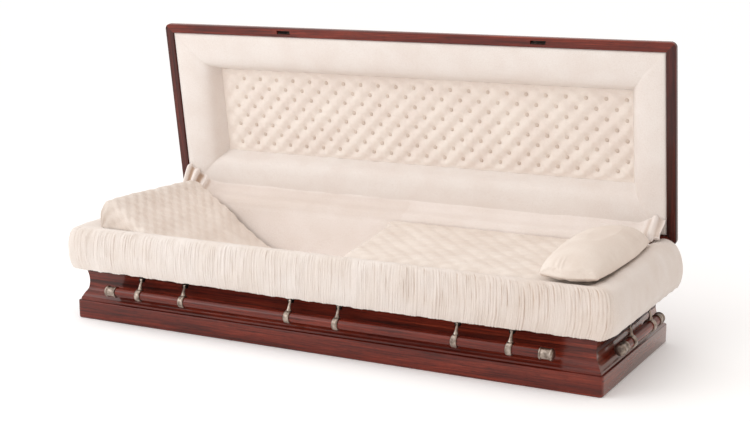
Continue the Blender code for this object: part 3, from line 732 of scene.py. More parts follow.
class CASKET_OT_lid_woodwork(bpy.types.Operator):
    """Rim and crown of the lid, with the two catches"""

    bl_idname = "casket.lid_woodwork"
    bl_label = "Lid woodwork"

    def execute(self, context):
        ring, profile = lid_rim_ring()
        # The rim's short lengths take the darker wood, painted shade
        mitred_frame("lid_rim_lengths", "lid_rim", "lid", ring, profile, "painted_shade_mahogany", opened)
        profile = crown_profile()
        grid, side, _ = ring_grid(LID_HALF_LENGTH, LID_HALF_WIDTH, LID_CORNER, profile, centre_y=LID_MIDDLE_Y,
                                  least=0.004)
        made = closed_tube("lid_crown_boards", opened(grid), "lacquered_mahogany", 28,
                           grain_uv(grid, side, profile, False))
        # Its two caps, the flat middles of the outside and the inside, are boards
        made.data.materials.append(finish("mahogany_long_boards"))
        for face in list(made.data.polygons)[-2:]:
            face.material_index = 1
        mounted(made, "lid", ["lid_crown"])
        for node in ("lid_catch_foot", "lid_catch_head"):
            refinished(node, "dark_nickel_plate")
        return {"FINISHED"}


class CASKET_OT_lid_lining(bpy.types.Operator):
    """Padded border and tufted panel inside the lid"""

    bl_idname = "casket.lid_lining"
    bl_label = "Lid lining"

    def execute(self, context):
        self.make_border()
        self.make_tufting(context.scene.casket_cloth)
        return {"FINISHED"}

    def make_border(self):
        """A long swell carried round the rim, pinched at its mitres and faintly uneven.

        Along the hinge it falls back towards the rim, and the apron tucks into that crease.
        """
        face = smooth_curve([(0.0365, 0.0090), (0.0420, 0.0045), (0.0600, 0.0022), (0.0900, 0.0030),
                             (0.1200, 0.0062), (0.1480, 0.0125), (0.1680, 0.0240), (0.1810, 0.0430),
                             (0.1890, 0.0640), (0.1997, 0.0860)], 5)
        back = [(0.1997, 0.0990), (0.1500, 0.0860), (0.1000, 0.0600), (0.0600, 0.0360), (0.0365, 0.0220)]
        profile = lid_profile(np.vstack([face, back]))
        grid, side, share = ring_grid(LID_HALF_LENGTH, LID_HALF_WIDTH, 0.0, profile, corner_steps=1,
                                      straight=72, centre_y=LID_MIDDLE_Y)
        inset = profile[:, :1]
        run = np.where(side % 2 == 0, 2 * (LID_HALF_LENGTH - inset), 2 * (LID_HALF_WIDTH - inset))
        from_mitre = np.minimum(share, 1 - share)[None, :] * run
        padded = np.arange(len(profile))[:, None] < len(face) - 1
        fade = smoothstep(inset, 0.040, 0.070) * smoothstep(-inset, -0.198, -0.180)
        uneven = 0.0008 * ripple(grid[..., 0], grid[..., 1], 5, 0.19) * fade
        groove = -0.0012 * np.exp(-(from_mitre / 0.007) ** 2) * smoothstep(inset, 0.038, 0.060)
        drawn = 0.0004 * np.sin(from_mitre / 0.0075) * np.exp(-from_mitre / 0.05) * fade
        x_before = grid[..., 0].copy()
        push = normals_of(grid, probe=(10, 40), way=(0, 0, -1), wrap_columns=True)
        grid = grid + push * ((uneven + groove + drawn) * padded)[..., None]
        fall = 0.0025 * (1 - smoothstep(inset, 0.060, 0.104)) * smoothstep(from_mitre, 0.0, 0.06)
        grid[..., 2] += fall * (side == 0) * padded
        grid[..., 0] += HEAD_SHIFT * smoothstep(inset, 0.10, 0.185) * smoothstep(x_before, 0.78, 0.86)
        made = closed_ring("lid_border_roll", opened(grid), "smooth_crepe", 60)
        mounted(made, "lid", ["lid_roll"])

    def make_tufting(self, cloth):
        """The panel's pads and pits, and a covered button in each pit."""
        foot_x, head_x = -(LID_HALF_LENGTH - BORDER_WIDTH), LID_HALF_LENGTH - BORDER_WIDTH + HEAD_SHIFT
        half_y = LID_HALF_WIDTH - BORDER_WIDTH
        # Diamonds 78 mm long in nine rows, the first button this far along the lid
        pitch, row, first = 0.0783, 2 * half_y / 9, -0.852
        columns, rows = 600, 124
        x, y = np.meshgrid(np.linspace(foot_x, head_x, columns), np.linspace(-half_y, half_y, rows))
        along, across = x - first + pitch / 2, y + half_y
        relief = tuft_height(along, across, pitch, row, cloth.tuft_depth, cloth.tuft_crown, pull=0.46)
        edge = np.minimum(np.minimum(0.4 * (x - foot_x), head_x - x), half_y - np.abs(y))
        border = smoothstep(edge, 0.0, 0.018)
        relief = relief * (0.30 + 0.70 * border) - 0.004 * (1 - border)
        relief += 0.0006 * ripple(x, y, 9, 0.045) * border
        top = opened(np.stack([x, y + LID_MIDDLE_Y, RIM_ABOVE_HINGE + PANEL_DEPTH - relief], -1))
        back = np.array((0.0, math.sin(LID_OPEN), math.cos(LID_OPEN)))
        floor = RIM_ABOVE_HINGE + PANEL_DEPTH + 0.018
        made = closed_pad("lid_tufting", top, floor + HINGE @ back, "tufted_crepe", back)
        mounted(made, "lid", ["tufted_panel"])
        i, j = np.meshgrid(np.arange(2, 46), np.arange(1, 9))
        there = (i + j) % 2 == 0
        above_pit = 0.0022
        level = np.full(there.sum(), RIM_ABOVE_HINGE + PANEL_DEPTH + cloth.tuft_depth - above_pit)
        places = [first + (i[there] - 1) * pitch / 2, j[there] * row - half_y + LID_MIDDLE_Y, level]
        self.make_buttons(np.stack(places, -1), cloth.button_radius)

    def make_buttons(self, places, radius):
        """Domed buttons: each a small ring of loops, lowered into its pit."""
        sides = 10
        angle = np.linspace(0, 2 * math.pi, sides, endpoint=False)
        circle = np.stack([np.cos(angle), np.sin(angle), 0 * angle], -1)
        dome = np.array([radius * share * circle - (0, 0, height) for share, height in
                         ((0.75, -0.0030), (1.0, -0.0010), (0.86, 0.0012), (0.50, 0.0026))])
        quads, caps = grid_quads(len(dome), sides, False, True), end_caps(len(dome), sides)
        points, quads, caps = joined([(dome + place, quads, caps) for place in places])
        # The buttons' darker colour is painted shade of the pits
        made = build_mesh("lid_tuft_buttons", opened(points), quads, "covered_buttons", 60, caps)
        mounted(made, "lid")


# Overlay


def overlay_sections():
    """The overlay's section as (outward, height) at the front, and at an end's front and back.

    Points 0 to 9 are what shows, from inside the well over the crest and down to the hem, 10 to 13
    go up inside the skirt, and 13 and 14 lie on the rim.
    """
    seat = RIM_SEAT
    front = [(-0.066, 0.3470), (-0.068, 0.3495), (-0.056, 0.3520), (-0.030, 0.3585), (-0.006, 0.3640),
             (0.008, 0.3580), (0.017, 0.3350), (0.020, 0.2850), (0.017, 0.2350), (0.0085, 0.1930),
             (0.0025, 0.1935), (0.0010, 0.2400), (-0.0017, 0.2900), (-0.0017, seat), (-0.050, seat)]
    skirt = [(0.048, 0.2400), (0.034, 0.2110), (0.028, 0.2115), (0.026, 0.2600), (0.010, 0.3200),
             (-0.0017, seat), (-0.050, seat)]
    end_front = [(-0.066, 0.3470), (-0.070, 0.3505), (-0.056, 0.3560), (-0.020, 0.3660), (0.016, 0.3570),
                 (0.036, 0.3350), (0.047, 0.3030), (0.052, 0.2660), *skirt]
    end_back = [(-0.066, 0.3500), (-0.072, 0.3620), (-0.056, 0.3760), (-0.020, 0.3850), (0.016, 0.3720),
                (0.036, 0.3450), (0.047, 0.3080), (0.052, 0.2680), *skirt]
    return np.array(front), np.array(end_front), np.array(end_back)


def overlay_stations(leg, corner, front):
    """Stations from the foot end's back, round the front, to the head end's back.

    Each is (side sign, quarter turn in radians, share of the leg still to go, share along the front).
    """
    half = math.pi / 2
    rows = [(-1, 0.0, 1 - n / leg, 0.0) for n in range(leg)]
    rows += [(-1, half * n / corner, 0.0, 0.0) for n in range(corner)]
    rows += [(0, half, 0.0, n / front) for n in range(front + 1)]
    rows += [(1, half * (1 - n / corner), 0.0, 0.0) for n in range(1, corner + 1)]
    rows += [(1, 0.0, n / leg, 0.0) for n in range(1, leg + 1)]
    return np.array(rows).T


def overlay_cage(stations):
    """The control points of the section at every station, as (points, stations, 3)."""
    sign, turn, leg, along = stations
    front, end_front, end_back = overlay_sections()
    # Each point turns the corner on an arc of its own: wide outside, tight in the well and on the rim
    radius = np.full((len(front), 1), 0.055)
    radius[[11, 12, 13]] = 0.007
    radius[[0, 1, 14]] = 0.012

    def at_end(side, turn):
        # The foot end is less full than the head end, and its skirt hangs straighter
        fullness = 1.0 if side > 0 else 0.78
        reach = front[:, :1] + (end_front[:, :1] - front[:, :1]) * fullness
        if side < 0:
            reach[7:11, 0] += (0.001, 0.005, 0.011, 0.011)
        return side * (HALF_LENGTH + reach - radius * (1 - np.cos(turn)))

    y = -(HALF_WIDTH + front[:, :1] - radius * (1 - np.sin(turn)))
    back_y = HINGE[1] - 0.012
    y = y + (back_y - y) * leg
    end_share = 0.5 + 0.5 * np.cos(2 * turn)
    z = front[:, 1:] + (end_front[:, 1:] - front[:, 1:]) * end_share
    z = z + (end_back[:, 1:] - end_front[:, 1:]) * leg
    foot_corner, head_corner = (at_end(side, np.full(1, math.pi / 2)) for side in (-1, 1))
    at_front = foot_corner + (head_corner - foot_corner) * along
    x = np.where(sign < 0, at_end(-1, turn), np.where(sign > 0, at_end(1, turn), at_front))
    return np.stack([x, y, z], -1)


class CASKET_OT_overlay(bpy.types.Operator):
    """Padded roll and gathered skirt folded out over the rim"""

    bl_idname = "casket.overlay"
    bl_label = "Overlay"

    def execute(self, context):
        cloth = context.scene.casket_cloth
        stations = overlay_stations(leg=44, corner=44, front=1300)
        cage = overlay_cage(stations)
        hem = slice(8, 11)
        cage[hem, :, 2] += 0.005 * smoothstep(-cage[hem, :, 0], 0.0, 1.0)  # it hangs higher at the foot
        per_span, skirt = 6, 7
        shown = np.einsum("sc,ckx->skx", curve_weights(10, per_span), cage[:10])
        inside = np.einsum("sc,ckx->skx", curve_weights(4, 2), cage[10:14])
        grid = np.concatenate([shown, inside, cage[14:]], 0)
        # Level counts the section's points, and length runs round the case along the upper skirt
        level = np.arange(len(shown)) / per_span
        length = run_along(shown[skirt * per_span - per_span // 2])
        gathers = self.gathers(length, level, cloth)
        push = normals_of(grid, (skirt * per_span, len(length) // 2), (0, -1, 0))[: len(shown)]
        # The front is shirred; the ends are smooth, with a few drawn folds near the corners
        sign, turn = stations[:2]
        at_front = np.where(sign == 0, 1.0, smoothstep(turn, 0.35, 1.15))
        strength = 0.10 + 0.90 * at_front
        soft = 0.0010 * ripple(length[None, :] + 0 * level[:, None], level[:, None] * 0.03, 21, 0.11)
        soft = soft * smoothstep(level, 1.0, 3.0)[:, None]
        grid[: len(shown)] += push * (gathers * strength + soft)[..., None]
        uneven = smoothstep(level, 8.0, 9.0)[:, None] * 0.0009 * ripple(length, 0, 33, 0.045)
        grid[: len(shown), :, 2] -= uneven * strength
        made = closed_tube("overlay_roll_and_skirt", grid.transpose(1, 0, 2), "shirred_crepe", 80)
        # Painted shade, carried by the crease attribute: tan in the skirt's valleys, and over the whole skirt
        # more towards the head end
        shade = np.zeros(grid.shape[:2])
        shade[: len(shown)] = 0.16 + 0.42 * smoothstep(-gathers / cloth.gather_depth, 0.05, 0.28)
        shade *= smoothstep(grid[..., 0], -0.15, 1.0) * strength * at_front
        paint_shade(made, shade.T)
        mounted(made, "case", ["overlay"])
        return {"FINISHED"}

    def gathers(self, length, level, cloth):
        """Folds of the shirring: rounded ridges with narrow valleys that start and die away.

        Each layer is the root of a sine's size, so its valleys are sharp. Its phase wanders along
        the skirt, and a mask of slow noise, stretched down the skirt, lets its folds come and go.
        """
        down = level[:, None] * 0.016
        relief = np.zeros((len(level), len(length)))
        for n, (pitch, share) in enumerate(((1.0, 0.42), (0.72, 0.36), (0.53, 0.22))):
            phase = math.pi * length / (pitch * cloth.gather_pitch)
            phase = phase + 2.4 * ripple(length, 0, 41 + n, 0.09 + 0.02 * n)
            lean = 0.7 * ripple(length[None, :], down, 51 + n, 0.12)
            mask = smoothstep(ripple(length[None, :] + 0 * down, down * 0.45, 61 + n, 0.024), -0.9, 0.8)
            fold = np.abs(np.sin(phase[None, :] + lean)) ** 0.7 - 0.6
            relief = relief + share * (0.30 + 0.70 * mask) * fold
        swell = smoothstep(level, 4.1, 5.3) * (1 - 0.45 * smoothstep(level, 6.8, 8.8))
        return cloth.gather_depth * relief * swell[:, None]


# Bedding


class CASKET_OT_bedding(bpy.types.Operator):
    """Lining walls, mattress, tufted bed cover and the sloping cover at the foot"""

    bl_idname = "casket.bedding"
    bl_label = "Bedding"

    def execute(self, context):
        self.make_lining()
        self.make_mattress()
        self.make_bed_cover()
        self.make_foot_cover()
        return {"FINISHED"}

    def make_lining(self):
        """A hung cloth inside the four panels: a thin wall with slow waves that fade at hem and corners."""
        near, far = 0.0503, 0.0543
        low, high = MATTRESS_TOP + TOUCH, 0.3448
        rows, per_side = 20, 90
        heights = np.linspace(low, high, rows)
        outline = [*[(near, z) for z in heights], *[(far, z) for z in heights[::-1]]]
        grid, side, share = ring_grid(HALF_LENGTH, HALF_WIDTH, 0.0, outline, 1, per_side)
        level = (grid[..., 2] - low) / (high - low)
        inner = (np.arange(len(outline)) >= rows)[:, None]
        wave = 0.0012 * (ripple(grid[..., 0], grid[..., 1], 51, 0.13) + 0.6)
        wave = wave * np.sin(math.pi * np.clip(level, 0, 1))
        wave = wave * smoothstep(np.minimum(share, 1 - share), 0.0, 0.04)
        inward = np.array([(0, 0, 0), (1, 0, 0), (0, 1, 0), (-1, 0, 0)])[side]  # the back hangs flat
        grid = grid + inward[None, :, :] * (wave * inner)[..., None]
        made = closed_ring("lining_walls", grid, "lining_crepe", 50)
        mounted(made, "case", ["side_lining"])

    def make_mattress(self):
        """A boxed mattress: its sides swell a little between two corded edges."""
        inset, low, high = 0.054, 0.0303, MATTRESS_TOP
        section = [(0.012, low), (0.003, low + 0.004), (0.0, low + 0.012), (0.0025, 0.060), (0.001, 0.090),
                   (0.0025, 0.122), (0.0, high - 0.012), (0.003, high - 0.004), (0.012, high)]
        profile = smooth_curve(section, 4)
        grid, _, _ = ring_grid(HALF_LENGTH - inset, HALF_WIDTH - inset, 0.012, profile, corner_steps=6,
                               straight=30, least=0.002)
        made = closed_tube("mattress_pad", grid, "lining_crepe", 60)
        mounted(made, "case", ["mattress"])

    def make_bed_cover(self):
        """The raised half of the bed: sewn diamonds over a gently crowned top with rounded edges.

        It rises towards the back, and its foot edge runs askew across the bed, as v (1 - u).
        """
        half_y, head_x, foot_x = 0.300, 1.002, 0.010
        length = head_x - foot_x
        columns, rows = 300, 190
        u, v = np.meshgrid(np.linspace(0, 1, columns), np.linspace(-1, 1, rows))
        x, y = foot_x + length * u - 0.046 * v * (1 - u), half_y * v
        relief = tuft_height(x - foot_x, y + half_y, pitch=0.077, row=0.0395, depth=0.0036, crown=0.0018,
                             pull=0.40)
        edge = np.minimum(np.minimum(u * length, (1 - u) * length + 0.01), half_y * (1 - np.abs(v)))
        border = smoothstep(edge, 0.0, 0.03)
        reach = np.where(v > 0.75, 0.014, 0.040)
        relief = (relief + 0.0010 * ripple(x, y, 61, 0.16)) * border
        drop = 0.016 * smoothstep(-v, 0.80, 1.0) + 0.013 * smoothstep(u, 0.86, 1.0)
        z = 0.3545 + 0.008 * smoothstep(v, -0.2, 1.0) + relief - drop - reach * rounding(edge / reach)
        made = closed_pad("bed_cover", np.stack([x, y, z], -1), MATTRESS_TOP + TOUCH, "quilt_crepe")
        mounted(made, "case", ["bed_quilt"])

    def make_foot_cover(self):
        """A tufted cover that slopes from a thick fold at the foot end down to the mattress.

        Its line in side view is carried across the case. A cross section, read by the distance q
        along it, goes up the front side, round a quarter circle of radius R, where
        y = edge + R (1 - cos(q / R)) and the drop is R (1 - sin(q / R)), then over the top and
        round a smaller one at the back. The quilting stands out from all of them.
        """
        path = smooth_curve([(-1.0000, 0.350), (-0.9998, 0.372), (-0.9980, 0.398), (-0.9930, 0.424),
                             (-0.9810, 0.448), (-0.9600, 0.4590), (-0.9300, 0.4520), (-0.8850, 0.4200),
                             (-0.8200, 0.3700), (-0.7400, 0.3090), (-0.6500, 0.2410), (-0.5750, 0.1910),
                             (-0.5200, 0.1650)], 20)
        length = run_along(path)
        half_y, front, back, side, turn = 0.291, 0.026, 0.020, 0.069, math.pi / 2
        flat = 2 * half_y - front - back
        last = (front + back) * turn + flat
        q = np.concatenate([np.linspace(-side, 0, 21)[:-1], np.linspace(0, front * turn, 13)[:-1],
                            np.linspace(front * turn, last - back * turn, 151)[:-1],
                            np.linspace(last - back * turn, last, 9)])
        s, q = np.meshgrid(length, q)
        x, z = path.T[:, None, :] + 0 * s
        tangent = np.gradient(path, axis=0)
        tangent /= np.linalg.norm(tangent, axis=1, keepdims=True)
        out_x, out_z = -tangent[:, 1], tangent[:, 0]
        # Where the cover thins out, its rounded sides shrink with the room left below them
        room = np.clip((z - MATTRESS_TOP - 0.003) / (front + side + 0.004), 0, 1)
        first, second = np.clip(q / front, 0, turn), np.clip((last - q) / back, 0, turn)
        level = np.clip(q - front * turn, 0, flat) / flat * (2 * half_y - room * (front + back))
        y = level - half_y + room * (front * (1 - np.cos(first)) + back * np.cos(second))
        drop = front * (1 - np.sin(first)) + np.maximum(-q, 0) + back * (1 - np.sin(second))
        # The upright corner at the front of the foot end is rounded too
        upright = 0.012
        inset = upright * rounding((x - path[0, 0]) / upright)
        y = y + inset * (1 - smoothstep(y, -half_y, -half_y + 0.04))
        relief = tuft_height(s, q, pitch=0.054, row=0.028, depth=0.0036, crown=0.0018, pull=0.42)
        relief = relief * (1 - 0.45 * smoothstep(s, 0.24, 0.48)) + 0.0018 * ripple(s, q, 71, 0.14)
        relief = relief * smoothstep(length[-1] - s, -0.004, 0.012) * smoothstep(s, 0.04, 0.09)
        upward = np.minimum(np.sin(first), np.sin(second))
        sideways = (np.cos(second) - np.cos(first)) * room
        hump = smoothstep(s, 0.02, 0.10) * (1 - smoothstep(s, 0.18, 0.34))
        lean = 0.009 * smoothstep(y / half_y, -0.6, 1.0) * hump
        top = np.stack([x + out_x * upward * relief, y + sideways * relief,
                        z + out_z * upward * relief - room * drop - lean], -1)
        top[..., 2] = np.maximum(top[..., 2], MATTRESS_TOP + 4 * TOUCH)
        made = closed_pad("foot_cover", top, MATTRESS_TOP + 0.0008, "bed_crepe")
        # Painted shade, carried by the crease attribute: grey towards the foot end
        paint_shade(made, 0.34 * (1 - smoothstep(top[..., 0], -1.0, -0.84)))
        mounted(made, "case", ["foot_throw"])
        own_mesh(made)


# Pillow


def pillow_rest(x, y):
    """Height that the pillow lies on: the bed cover, then the overlay's crest at the head and front."""
    crest = 0.0075 + 0.0257 * np.maximum(y + 0.31, 0.0)
    at_head = crest * np.clip((x - 0.80) / 0.17, 0, 1)
    at_front = 0.0060 * np.clip((-0.16 - y) / 0.14, 0, 1)
    return 0.3610 + np.maximum(at_head, at_front)


class CASKET_OT_pillow(bpy.types.Operator):
    """A soft pillow at the head end"""

    bl_idname = "casket.pillow"
    bl_label = "Pillow"

    def execute(self, context):
        made = self.sewn_case()
        self.filled(made)
        self.settle(made)
        mounted(made, "case", ["pillow"])
        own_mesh(made)
        return {"FINISHED"}

    def sewn_case(self):
        """Two sheets sewn round a soft rectangle: a crowned top and a flatter underside.

        The rectangle's square is drawn in towards a circle near its corners. Each sheet's height is
        a power of the product of two arches, so both stand upright at the seam and the side is round.
        """
        foot_front, head_front = np.array([(0.806, -0.353), (1.044, -0.351)])
        foot_back, head_back = np.array([(0.753, 0.283), (1.052, 0.276)])
        count = 84
        a, b = np.meshgrid(np.linspace(-1, 1, count), np.linspace(-1, 1, count))
        along = (0.5 + 0.5 * a * np.sqrt(1 - np.where(b < 0, 0.20, 0.26) * b**2))[..., None]
        across = (0.5 + 0.5 * b * np.sqrt(1 - np.where(b < 0, 0.16, 0.24) * a**2))[..., None]
        front = foot_front + (head_front - foot_front) * along
        back = foot_back + (head_back - foot_back) * along
        plan = front + (back - front) * across
        arch = (1 - np.abs(a) ** 2.3) ** np.where(a < 0, 1.25, 1.0)
        arch = arch * (1 - np.abs(b) ** np.where(b < 0, 3.4, 2.6))
        seam = pillow_rest(plan[..., 0], plan[..., 1]) + 0.0085
        upper = np.dstack([plan, seam + 0.084 * arch ** 0.50])
        lower = np.dstack([plan, seam - 0.0080 * arch ** 0.40])
        rim, below = border_of(count, count), count * count
        sides = np.stack([rim, np.roll(rim, -1), np.roll(rim, -1) + below, rim + below], -1)
        quads = np.vstack([grid_quads(count, count)[:, ::-1], grid_quads(count, count) + below, sides])
        return build_mesh("head_pillow", np.vstack([upper.reshape(-1, 3), lower.reshape(-1, 3)]), quads,
                          "pillow_crepe", None)

    def filled(self, made):
        """Cloth under pressure: the case is remeshed, blown up for 20 frames, and held to 5 mm."""
        voxel, frames, most = 0.0055, 20, 0.005
        activate(made)
        remesh = made.modifiers.new("Remesh", "REMESH")
        remesh.mode, remesh.voxel_size = "VOXEL", voxel
        bpy.ops.object.modifier_apply(modifier=remesh.name)
        before = vertices_of(made)
        cloth = made.modifiers.new("Cloth", "CLOTH")
        settings = cloth.settings
        settings.use_pressure, settings.uniform_pressure_force = True, 4.0
        settings.effector_weights.gravity = 0.0
        settings.quality, settings.mass = 6, 0.25
        settings.tension_stiffness = settings.compression_stiffness = 18.0
        settings.bending_stiffness = 0.12
        settings.shrink_min = -0.03
        cloth.point_cache.frame_start, cloth.point_cache.frame_end = 1, frames
        scene = bpy.context.scene
        for step in range(1, frames + 1):
            scene.frame_set(step)
        move = vertices_of(made.evaluated_get(bpy.context.evaluated_depsgraph_get())) - before
        made.modifiers.remove(cloth)
        scene.frame_set(1)
        far = np.linalg.norm(move, axis=1, keepdims=True)
        put_vertices(made, before + move * np.minimum(1.0, most / np.maximum(far, 1e-9)))
        smooth = made.modifiers.new("Subdivision", "SUBSURF")
        smooth.levels = smooth.render_levels = 1
        bpy.ops.object.modifier_apply(modifier=smooth.name)
        made.data.shade_smooth()

    def settle(self, made):
        """Nothing of it lies below what carries it, and its puckers gather towards the front seam."""
        points = vertices_of(made)
        x, y, z = points.T
        rest = pillow_rest(x, y)
        near_front = np.exp(-((y + 0.330) / 0.028) ** 2) * smoothstep(z - rest, 0.010, 0.026)
        at_corner = 0.08 + np.exp(-((x - 0.895) / 0.032) ** 2)
        pucker = 0.0020 * np.sin(x / 0.0036 + 1.5 * ripple(x, 0, 81, 0.05)) * near_front * at_corner
        points[:, 2] = np.minimum(np.maximum(z + pucker, rest), 0.4660)
        put_vertices(made, points)


def activate(piece):
    """Selects only the piece and makes it active, as the operators expect."""
    for other in bpy.context.selected_objects:
        other.select_set(False)
    bpy.context.view_layer.objects.active = piece
    piece.select_set(True)


def vertices_of(piece):
    """The places of a mesh's vertices."""
    points = np.zeros(len(piece.data.vertices) * 3, np.float32)
    piece.data.vertices.foreach_get("co", points)
    return points.reshape(-1, 3).astype(float)


def put_vertices(piece, points):
    """Moves a mesh's vertices to the given places."""
    piece.data.vertices.foreach_set("co", points.astype(np.float32).ravel())
    piece.data.update()


# Apron over the hinge


class CASKET_OT_apron(bpy.types.Operator):
    """Cloth between the back lining and the lid, bunched into a gusset at each end"""

    bl_idname = "casket.apron"
    bl_label = "Hinge apron"

    def execute(self, context):
        ends = np.linspace(0.90, 1.040, 71)
        x = np.concatenate([-ends[::-1], np.linspace(-0.90, 0.90, 121)[1:-1], ends])
        far, head = np.abs(x), x > 0
        # Each gusset is one bunch of folds, wide and low at the head, narrow and tall at the foot
        centre, pitch = np.where(head, 1.004, 1.026), np.where(head, 0.045, 0.035)
        width = np.where(head, np.where(far > centre, 0.060, 0.040), np.where(far > centre, 0.030, 0.066))
        rise = 0.074 * np.exp(-((far - centre) / width) ** 2) * np.where(head, 0.55, 1.0)
        lift = smoothstep(far, 0.950, 0.994)
        section = self.section(rise, lift, 0.0245 * smoothstep(far, 0.990, 1.022))
        shown = np.einsum("sc,ckx->skx", curve_weights(9, 5), section)
        grid = np.concatenate([np.broadcast_to(x[None, :, None], (*shown.shape[:2], 1)), shown], -1)
        level = np.linspace(0, 1, len(grid))[:, None]
        fade = smoothstep(level, 0.0, 0.12) * smoothstep(-level, -1.0, -0.90)
        bunch = np.where(head, smoothstep(far, 0.950, 0.985), smoothstep(far, 0.925, 0.965))
        wave = np.cos(2 * math.pi * (far - centre) / pitch + 0.9 * (level - 0.8)) * bunch
        folds = np.where(head, 0.0055, 0.0085) * wave
        drawn = 0.0014 * np.sin(far / 0.0085 + 3.0 * level) * smoothstep(far, 0.82, 0.94) * (1 - bunch)
        slack = 0.0011 * ripple(grid[..., 0], grid[..., 2], 91, 0.24) * (1 - bunch)
        probe, front, thickness = (10, len(x) // 2), (0, -1, 0), 0.0022
        grid = grid + normals_of(grid, probe, front) * ((folds + drawn + slack) * fade)[..., None]
        back = grid - thickness * normals_of(grid, probe, front)
        loop = np.concatenate([grid, back[::-1]], 0)
        made = closed_tube("hinge_apron_cloth", loop.transpose(1, 0, 2), "bunched_crepe", 60)
        # Painted shade, carried by the crease attribute: tan in the gussets' valleys, lighter at the head
        # than at the foot
        shade = smoothstep(-wave, -0.4, 0.9) * np.where(head, 0.35, 0.75 * (far < 1.019))
        shade = shade * smoothstep(level, 0.30, 0.55) * smoothstep(-level, -0.99, -0.90)
        paint_shade(made, np.concatenate([shade, shade[::-1]], 0).T)
        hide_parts("hinge_apron")
        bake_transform(made)
        return {"FINISHED"}

    def section(self, rise, lift, hem):
        """Points from the hem inside the well, over the rail, to the crease of the lid's border.

        Each control point is a mix of its place along the back and its place in the bunched ends.
        """
        top = 0.420 + rise
        plane = HINGE[1] + 0.0285 - (top - 0.3515) * math.tan(math.pi / 2 - LID_OPEN)
        low = [(0.3040, 0.1560), (0.3038, 0.2400), (0.3036, 0.3300), (0.3045, 0.3520), (0.3080, 0.3700),
               (0.3230, 0.3870), (plane - 0.023, top - 0.024), (plane - 0.003, top - 0.008),
               (plane + 0.0045, top + 0.012)]
        high = [(0.3000, 0.3650 + hem), (0.2985, 0.3690 + hem), (0.2975, 0.3740 + 0.8 * hem),
                (0.2985, 0.3820 + 0.6 * hem), (0.3010, 0.3930 + 0.4 * hem), (0.3090, 0.4140),
                (plane - 0.022, top - 0.012), (plane - 0.008, top - 0.001), (plane + 0.002, top - 0.003)]
        rows = []
        for (low_y, low_z), (high_y, high_z) in zip(low, high):
            rows.append(np.stack([low_y + (high_y - low_y) * lift, low_z + (high_z - low_z) * lift], -1))
        return np.array(rows)


# Handles


def lathe(profile, sides, centre):
    """A profile of (along x, radius) turned about the X axis through the centre."""
    angle = np.linspace(0, 2 * math.pi, sides, endpoint=False)
    along, radius = np.array(profile).T[..., None]
    return np.stack([along + centre[0] + 0 * angle, radius * np.cos(angle) + centre[1],
                     radius * np.sin(angle) + centre[2]], -1)


def tip_profile(sign, start):
    """A turned cap: a beaded mouth, a sleeve with a dark ring, a bead and a domed end."""
    shape = [(0.0, 0.0178), (0.0, 0.0205), (0.0012, 0.0214), (0.0050, 0.0214), (0.0064, 0.0202),
             (0.0072, 0.0186), (0.0084, 0.0186), (0.0096, 0.0190), (0.0340, 0.0190), (0.0352, 0.0186),
             (0.0362, 0.0186), (0.0372, 0.0204), (0.0386, 0.0214), (0.0430, 0.0214), (0.0444, 0.0204),
             (0.0470, 0.0172), (0.0488, 0.0120), (0.0497, 0.0050)]
    return [(sign * (start + along), radius) for along, radius in shape]


# Each side: its turn in degrees, how far out its panel stands, half the bar's length with its tips,
# where its arms are, and how far out from upright they hang in degrees
LONG = (HALF_WIDTH, 0.906, (-0.7505, -0.5535, -0.0985, 0.0985, 0.5535, 0.7505), 18.0)
SHORT = (HALF_LENGTH, 0.228, (-0.110, 0.110), 8.0)
HANDLE_SIDES = {"front": (0, *LONG), "head": (90, *SHORT), "back": (180, *LONG), "foot": (270, *SHORT)}
PIVOT_OUT, PIVOT_Z, ARM_REACH, BAR_RADIUS, TIP_LENGTH = 0.001, 0.184, 0.058, 0.0175, 0.050


